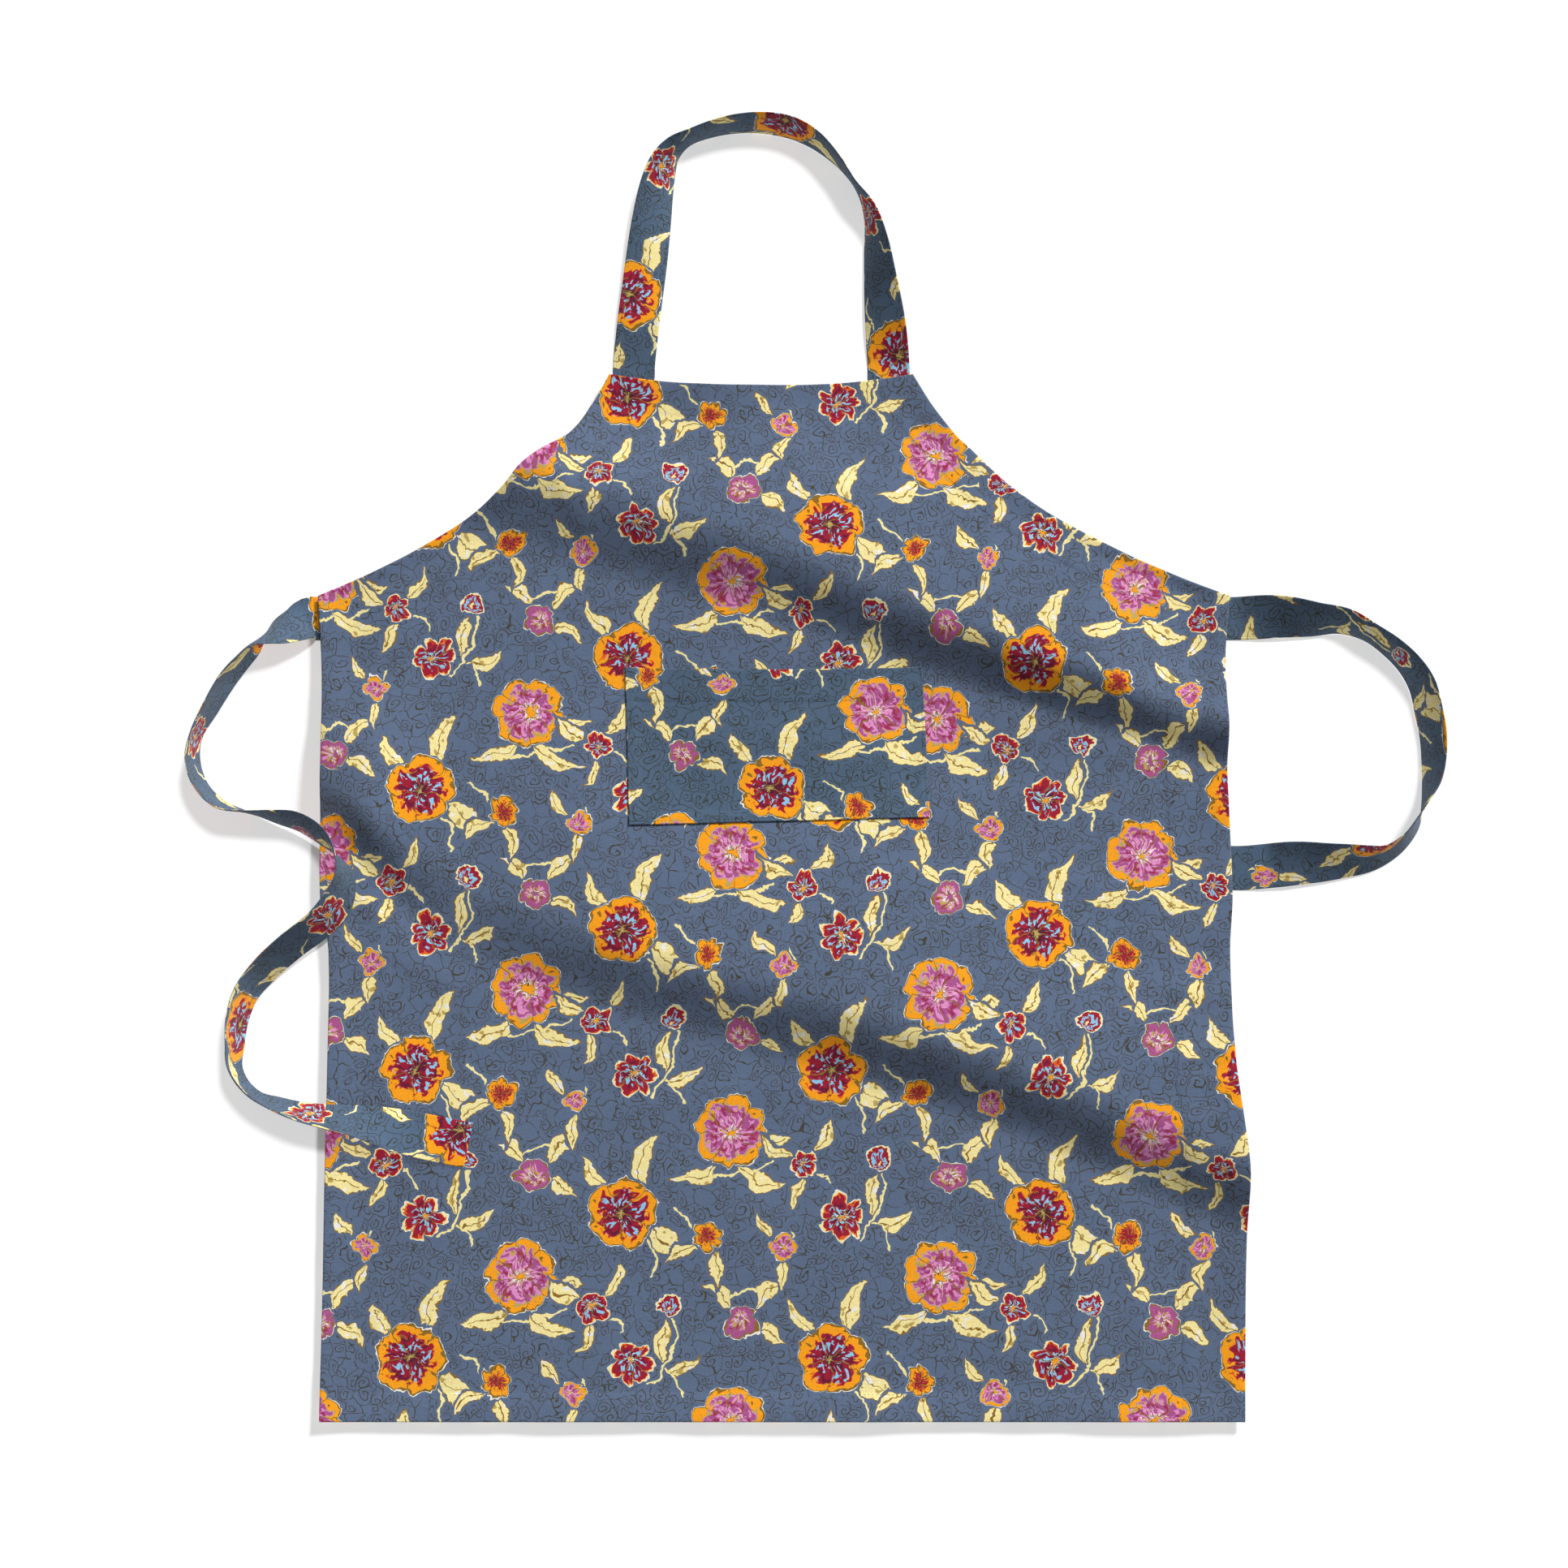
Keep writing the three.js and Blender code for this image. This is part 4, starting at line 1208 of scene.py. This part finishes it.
def noise(point, scale, detail=0.0):
    made = addNode(
        "ShaderNodeTexNoise", {"Vector": point, "Scale": scale, "Detail": detail}, noise_dimensions="2D"
    )
    return Wire(made.outputs["Fac"]), Wire(made.outputs["Color"])


def rampOf(value, stops):
    made = addNode("ShaderNodeValToRGB", {0: value})
    made.color_ramp.interpolation = "CONSTANT"
    elements = made.color_ramp.elements
    for k, (place, name) in enumerate(stops):
        element = elements[k] if k < 2 else elements.new(place)
        element.position = place
        element.color = ink(name)
    return Wire(made.outputs[0])


# The point turned and moved so that a motif that starts at x, y and points along turn lies along +X
def local(point, x, y, turn):
    angle = math.radians(turn)
    c, s = math.cos(angle), math.sin(angle)
    made = addNode("ShaderNodeMapping", {"Vector": point}, vector_type="POINT")
    made.inputs["Location"].default_value = (-(x * c + y * s), x * s - y * c, 0)
    made.inputs["Rotation"].default_value = (0, 0, -angle)
    return Wire(made.outputs[0])


# The print's point measured from the nearest copy of a spray, in the half-drop repeat
def fromNearest(point, centre):
    width, height = printPlan["width"], printPlan["height"]
    x, y, _ = apart(vector("SUBTRACT", point, (*centre, 0)))
    column = calc("ROUND", x * (1 / width))
    x = calc("MULTIPLY_ADD", column, -width, x)
    y = calc("MULTIPLY_ADD", column, -height / 2, y)
    row = calc("ROUND", y * (1 / height))
    return together(x, calc("MULTIPLY_ADD", row, -height, y))


# How far inside a leaf's outline a point lies, and how far inside its vein
def leafOf(point, x, y, turn, length, halfWidth, bend):
    along, across, _ = apart(local(point, x, y, turn))
    share = along * (1 / length)
    arch = share * (1 - share)
    across = calc("ABSOLUTE", calc("MULTIPLY_ADD", arch, -4 * bend, across))
    fullness = calc("MAXIMUM", calc("MULTIPLY_ADD", share, -0.8, 1.4), 0.3) * (4 * halfWidth)
    inside = arch * fullness - across
    vein = calc("MINIMUM", printPlan["veinWidth"] - across, calc("MULTIPLY_ADD", share, -9, 7))
    return inside, calc("MINIMUM", vein, along - 2)


def stemOf(point, x, y, turn, length, bend):
    along, across, _ = apart(local(point, x, y, turn))
    share = along * (1 / length)
    arch = share * (1 - share)
    across = calc("ABSOLUTE", calc("MULTIPLY_ADD", arch, -4 * bend, across))
    return calc("MINIMUM", printPlan["stemWidth"] - across, arch * 40)


def greatest(values):
    most = values[0]
    for value in values[1:]:
        most = calc("MAXIMUM", most, value)
    return most


# How petals are streaked, flecked and parted. A pair is from where to where it fades in
petalMarks = {
    "perTurn": 3.2,
    "perRadius": 0.16,
    "scale": 1.25,
    "ragged": 3.4,
    "streaks": (0.585, 0.60),
    "flecks": (0.41, 0.39),
    "fleckCover": 0.8,
    "parting": (0.42, 0.28),
}


# A blossom's colour, and how far inside its outline a point lies
def blossomOf(point, seed, middle, petals, size, roundShare, turn, rings, streak):
    spot = local(point, *middle, turn)
    x, y, _ = apart(spot)
    radius = vector("LENGTH", spot)
    angle = calc("ARCTAN2", y, x)
    crest = calc("ABSOLUTE", calc("COSINE", angle * (petals / 2)))
    fullness = calc("POWER", crest, 0.55 if petals > 1 else 1.3)
    reach = calc("MULTIPLY_ADD", fullness, size * (1 - roundShare), size * roundShare)
    share = radius / reach
    inside = reach - radius
    streakPoint = together(angle * petalMarks["perTurn"] + seed, radius * petalMarks["perRadius"])
    _, streaks = noise(streakPoint, petalMarks["scale"], 1.0)
    ragged, second, _ = apart(streaks)
    swing = share * (1 - share) * (ragged - 0.5)
    colour = rampOf(calc("MULTIPLY_ADD", swing, petalMarks["ragged"], share), rings)
    if streak:
        band = step(share, 0.2, 0.26) * step(share, 0.72, 0.6)
        colour = paint(colour, ink(streak), step(second, *petalMarks["streaks"]) * band)
        flecks = step(second, *petalMarks["flecks"]) * band * petalMarks["fleckCover"]
        colour = paint(colour, ink("plum" if streak == "skyBlue" else "crimson"), flecks)
    if petals > 1:
        gap = radius * crest * (2 / petals)
        line = step(gap, *petalMarks["parting"]) * step(share, 0.1, 0.16)
        colour = paint(colour, ink("olive"), line)
    return colour, inside


# One node group with the whole design: ground, scrolls and sprays
def makePrint():
    tree = bpy.data.node_groups.new("floral_print", "ShaderNodeTree")
    tree.interface.new_socket("Cloth", in_out="INPUT", socket_type="NodeSocketVector")
    tree.interface.new_socket("Colour", in_out="OUTPUT", socket_type="NodeSocketColor")
    tree.interface.new_socket("Bare", in_out="OUTPUT", socket_type="NodeSocketFloat")
    Wire.tree = tree
    cloth = Wire(tree.nodes.new("NodeGroupInput").outputs[0])
    point = vector("SCALE", cloth)
    point.socket.node.inputs["Scale"].default_value = 1000
    patches, _ = noise(point, 1 / printPlan["patch"], 1.0)

    # scroll ground
    curled = point
    for size, amount in scrolls["sway"]:
        _, shift = noise(point, 1 / size, 0.0)
        curled = vector("MULTIPLY_ADD", shift, (amount, amount, 0), curled)
    cellSize, pitch, thin = scrolls["cell"], scrolls["pitch"], scrolls["halfLine"]
    cells = addNode("ShaderNodeTexVoronoi", {"Vector": curled, "Scale": 1 / cellSize, "Randomness": 0.9},
                    voronoi_dimensions="2D", feature="F1")
    middle = vector("SUBTRACT", curled, Wire(cells.outputs["Position"]))
    mx, my, _ = apart(middle)
    away = vector("LENGTH", middle)
    chance, _, other = apart(Wire(cells.outputs["Color"]))
    hand = calc("SIGN", other - 0.5) * (1 / (2 * math.pi))
    wound = calc("FRACT", calc("MULTIPLY_ADD", calc("ARCTAN2", my, mx), hand, away * (1 / pitch) + other))
    spiral = step(calc("ABSOLUTE", wound - 0.5) * pitch, thin + 0.12, thin - 0.12)
    spiral = spiral * step(away, scrolls["reach"], scrolls["reach"] - 0.4)
    spiral = spiral * step(chance, scrolls["spiralShare"] + 0.01, scrolls["spiralShare"])
    edges = addNode("ShaderNodeTexVoronoi", {"Vector": curled, "Scale": 1 / cellSize, "Randomness": 0.9},
                    voronoi_dimensions="2D", feature="DISTANCE_TO_EDGE")
    apartFrom = Wire(edges.outputs["Distance"]) * cellSize
    join = scrolls["joinHalfLine"]
    between = step(apartFrom, join + 0.12, join - 0.12) * step(patches, 0.36, 0.38)
    lines = calc("MAXIMUM", spiral, between) * scrolls["strength"]
    colour = paint(ink("ground"), ink("scroll"), lines)

    # the blocks of the print waver a little, as drawn by hand
    for size, amount in printPlan["warps"]:
        _, shift = noise(point, 1 / size, 0.0)
        point = vector("MULTIPLY_ADD", shift, (amount, amount, 0), point)
        point = vector("SUBTRACT", point, (amount / 2, amount / 2, 0))
    leafColour = rampOf(patches, leafTones)
    clear = printPlan["clearance"]
    covers = []
    for k, spray in enumerate(sprays):
        spot = fromNearest(point, spray["at"])
        found = [leafOf(spot, *leaf) for leaf in spray["leaves"]]
        stems = greatest([stemOf(spot, *stem) for stem in spray["stems"]])
        leaves = greatest([inside for inside, _ in found])
        veins = greatest([vein for _, vein in found])
        green = calc("MAXIMUM", leaves, stems)
        colour = paint(colour, ink("ground"), step(green, -clear, 0.5 - clear))
        lineWork = calc("MAXIMUM", veins, printPlan["outline"] - leaves)
        drawn = paint(leafColour, ink("olive"), step(lineWork, -0.05, 0.1))
        drawn = paint(drawn, ink("cream"), step(stems - leaves, 0.0, 0.1))
        covers.append(step(green, -0.1, 0.1))
        colour = paint(colour, drawn, covers[-1])
        for j, blossom in enumerate(spray["blossoms"]):
            petals, inside = blossomOf(spot, 7.3 * k + 3.1 * j, *blossom)
            colour = paint(colour, ink("ground"), step(inside, -clear, 0.5 - clear))
            haloInside = calc("MULTIPLY_ADD", patches, 1.6, inside - 0.8)
            covers.append(step(haloInside, -printPlan["halo"], 0.15 - printPlan["halo"]))
            colour = paint(colour, ink("highlight"), covers[-1])
            colour = paint(colour, petals, step(inside, -0.1, 0.1))
    out = tree.nodes.new("NodeGroupOutput")
    tree.links.new(colour.socket, out.inputs[0])
    tree.links.new((1 - greatest(covers)).socket, out.inputs[1])
    return tree


floralPrint = makePrint()
print("print drawn, nodes:", len(floralPrint.nodes))


# Cotton with the print: tint darkens it, and fade lets it show through from the other side
def printedCloth(name, tint=(1, 1, 1), fade=0.0):
    material = bpy.data.materials.new(name)
    material.use_nodes = True
    tree = material.node_tree
    Wire.tree = tree
    shader = tree.nodes["Principled BSDF"]
    uv = tree.nodes.new("ShaderNodeUVMap")
    uv.uv_map = "cloth"
    cloth = Wire(uv.outputs[0])
    design = tree.nodes.new("ShaderNodeGroup")
    design.node_tree = floralPrint
    feed(cloth, design.inputs[0])
    colour = Wire(design.outputs[0])
    if fade:
        colour = paint(colour, ink("ground"), fade)
        colour = paint(colour, weave["reverseTone"], weave["reverseHaze"])
    if tint != (1, 1, 1):
        colour = paint(colour, vector("MULTIPLY", colour, tint), Wire(design.outputs[1]))
    x, y, _ = apart(vector("MULTIPLY", cloth, (1000 / weave["yarn"],) * 3))
    warp = calc("ABSOLUTE", calc("SINE", x * math.pi))
    weft = calc("ABSOLUTE", calc("SINE", y * math.pi))
    over = calc("MODULO", calc("ABSOLUTE", calc("FLOOR", x) + calc("FLOOR", y)), 2.0)
    yarn = calc("MULTIPLY_ADD", over, warp - weft, weft)
    slub, _ = noise(vector("MULTIPLY", cloth, (*weave["slub"], 0)), 1.0, 2.0)
    slubAcross, _ = noise(vector("MULTIPLY", cloth, (*weave["slub"][::-1], 0)), 1.0, 2.0)
    shade = calc("MULTIPLY_ADD", yarn, weave["yarnShade"], 1 - weave["yarnShade"] * 0.62)
    shade = shade + (slub + slubAcross - 1.0) * weave["slubShade"] * 2
    worn, _ = noise(cloth, 14, 2.0)
    grain, _ = noise(cloth, 900, 2.0)
    shade = shade + (worn - 0.5) * weave["wornShade"] + (grain - 0.5) * weave["grainShade"]
    colour = vector("SCALE", colour)
    feed(shade, colour.socket.node.inputs["Scale"])
    bump = addNode("ShaderNodeBump", {"Height": yarn + slub * 0.8, "Distance": weave["bumpHeight"]})
    tree.links.new(colour.socket, shader.inputs["Base Color"])
    tree.links.new(bump.outputs[0], shader.inputs["Normal"])
    shader.inputs["Roughness"].default_value = weave["roughness"]
    shader.inputs["Sheen Weight"].default_value = weave["sheen"]
    shader.inputs["Sheen Roughness"].default_value = weave["sheenRoughness"]
    shader.inputs["Specular IOR Level"].default_value = weave["specular"]
    return material


def makeThread():
    material = bpy.data.materials.new("navy_thread")
    material.use_nodes = True
    tree = material.node_tree
    Wire.tree = tree
    shader = tree.nodes["Principled BSDF"]
    place = tree.nodes.new("ShaderNodeTexCoord")
    _, tone = noise(Wire(place.outputs["Object"]), 900, 1.0)
    fleck, _, _ = apart(tone)
    colour = paint(thread["dark"], thread["light"], fleck)
    tree.links.new(colour.socket, shader.inputs["Base Color"])
    shader.inputs["Roughness"].default_value = 0.7
    return material


faceCloth = printedCloth("printed_cloth_face")
reverseCloth = printedCloth("printed_cloth_reverse", fade=weave["reverseFade"])
doubleCloth = printedCloth("doubled_cloth", tint=weave["doubledTint"])
threadFinish = makeThread()


# The pieces

panelPiece = makePanel([faceCloth, reverseCloth])
print("panel made, faces:", len(panelPiece.data.polygons))
pocketPiece = makePocket([doubleCloth, reverseCloth])
print("pocket made, faces:", len(pocketPiece.data.polygons))

tieWidth = bands["tieWidth"]
far = 10.0
tuckDepth = bands["tuckDepth"]
neckPiece, neckLine, neckSupport = makeBand(
    "neck_band", neckRows(), neckStrap["width"], far, tuckDepth, neckStrap["printAt"]
)
leftPiece, leftLine, leftSupport = makeBand(
    "left_tie", tieRows(-1, leftTie), tieWidth, 3 * tuckDepth, bands["endLaid"], leftTie["printAt"]
)
rightPiece, rightLine, rightSupport = makeBand(
    "right_tie", tieRows(1, rightTie), tieWidth, far, rightTie["hidden"], rightTie["printAt"]
)

panelStitches = makeStitches("panel_stitches", panelRuns(), threadFinish)
pocketStitches = makeStitches("pocket_stitches", pocketRuns(), threadFinish)
strapRuns = []
for line, support, width in (
    (neckLine, neckSupport, neckStrap["width"]),
    (leftLine, leftSupport, tieWidth),
    (rightLine, rightSupport, tieWidth),
):
    strapRuns += bandRuns(line, support, width, 1) + bandRuns(line, support, width, -1)
strapStitches = makeStitches("strap_stitches", strapRuns, threadFinish)
stitches = ((panelStitches, "body_cloth"), (pocketStitches, "double_cloth"), (strapStitches, "double_cloth"))
print("stitches made, faces:", sum(len(piece.data.polygons) for piece, _ in stitches))

for piece, node, slot in (
    (panelPiece, "apron_panel", "body_cloth"),
    (pocketPiece, "pocket", "double_cloth"),
    (neckPiece, "neck_strap", "double_cloth"),
    (leftPiece, "waist_tie_left", "double_cloth"),
    (rightPiece, "waist_tie_right", "double_cloth"),
):
    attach(piece, "root")
    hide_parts(node)
for piece, slot in stitches:
    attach(piece, "root")

# The table, the light and the camera

studio = {
    "floorHalf": 4.0,
    "floorDrop": 0.0003,
    "floorShade": 0.55,
    "floorGlow": 0.19,
    "fill": 0.23,
    "azimuth": 54,
    # strength, height in degrees and softness in degrees. A low sun shows the folds, and a high one gives the
    # shadows of the strap and ties on the cloth. On the table one is for their shadows, one for the panel's
    "clothSun": (3.70, 31, 9),
    "tieSun": (0.55, 58, 10),
    "strapSun": (2.37, 60, 8),
    "panelSun": (6.01, 20, 7),
    "lens": 55.9,
    "distance": 1.980,
    "tilt": 8,
    # from the bottom hem up to what the camera looks at
    "aimUp": 0.505,
}


def makeFloor():
    mesh = bpy.data.meshes.new("floor")
    half = studio["floorHalf"]
    corners = [(-half, -half, 0), (half, -half, 0), (half, half, 0), (-half, half, 0)]
    mesh.from_pydata(corners, [], [(0, 1, 2, 3)])
    floor = bpy.data.objects.new("floor", mesh)
    floor.location.z = -studio["floorDrop"]
    scene.collection.objects.link(floor)
    material = bpy.data.materials.new("pale_table")
    material.use_nodes = True
    shader = material.node_tree.nodes["Principled BSDF"]
    shade, glow = studio["floorShade"], studio["floorGlow"]
    shader.inputs["Base Color"].default_value = (shade, shade, shade, 1)
    shader.inputs["Roughness"].default_value = 1.0
    shader.inputs["Specular IOR Level"].default_value = 0.0
    shader.inputs["Emission Color"].default_value = (1, 1, 1, 1)
    shader.inputs["Emission Strength"].default_value = glow
    mesh.materials.append(material)
    return floor


# Some pieces as a group that a light can be kept to
def gather(name, pieces):
    group = bpy.data.collections.new(name)
    for piece in pieces:
        group.objects.link(piece)
    return group


# A sun from the upper right that lights only some pieces, with shadows of only some pieces
def makeSun(name, receivers, blockers):
    strength, height, softness = studio[name]
    light = bpy.data.lights.new(name, "SUN")
    light.energy = strength
    light.angle = math.radians(softness)
    lamp = bpy.data.objects.new(name, light)
    lamp.rotation_euler = (0, math.radians(90 - height), math.radians(studio["azimuth"]))
    lamp.light_linking.receiver_collection = receivers
    lamp.light_linking.blocker_collection = blockers
    scene.collection.objects.link(lamp)


straps = [neckPiece, leftPiece, rightPiece, strapStitches]
cloths = [panelPiece, pocketPiece, panelStitches, pocketStitches]
table = gather("table", [makeFloor()])
makeSun("clothSun", gather("apron_low", straps + cloths), gather("fold_shadows", cloths))
makeSun("tieSun", gather("apron_high", straps + cloths), gather("apron_shadows", straps + cloths))
makeSun("strapSun", table, gather("strap_shadows", straps))
makeSun("panelSun", table, gather("panel_shadows", cloths))

world = bpy.data.worlds.new("studio")
scene.world = world
world.use_nodes = True
world.node_tree.nodes["Background"].inputs["Color"].default_value = (1, 1, 1, 1)
world.node_tree.nodes["Background"].inputs["Strength"].default_value = studio["fill"]
scene.view_settings.view_transform = "Standard"

cameraData = bpy.data.cameras.new("camera")
cameraData.lens = studio["lens"]
cameraData.sensor_width = 36
camera = bpy.data.objects.new("camera", cameraData)
scene.collection.objects.link(camera)
tilt = math.radians(studio["tilt"])
aimX, aimY = originX, originY + studio["aimUp"]
camera.location = (aimX, aimY - studio["distance"] * math.sin(tilt), studio["distance"] * math.cos(tilt))
camera.rotation_euler = (tilt, 0, 0)
scene.camera = camera
print("light and camera set")
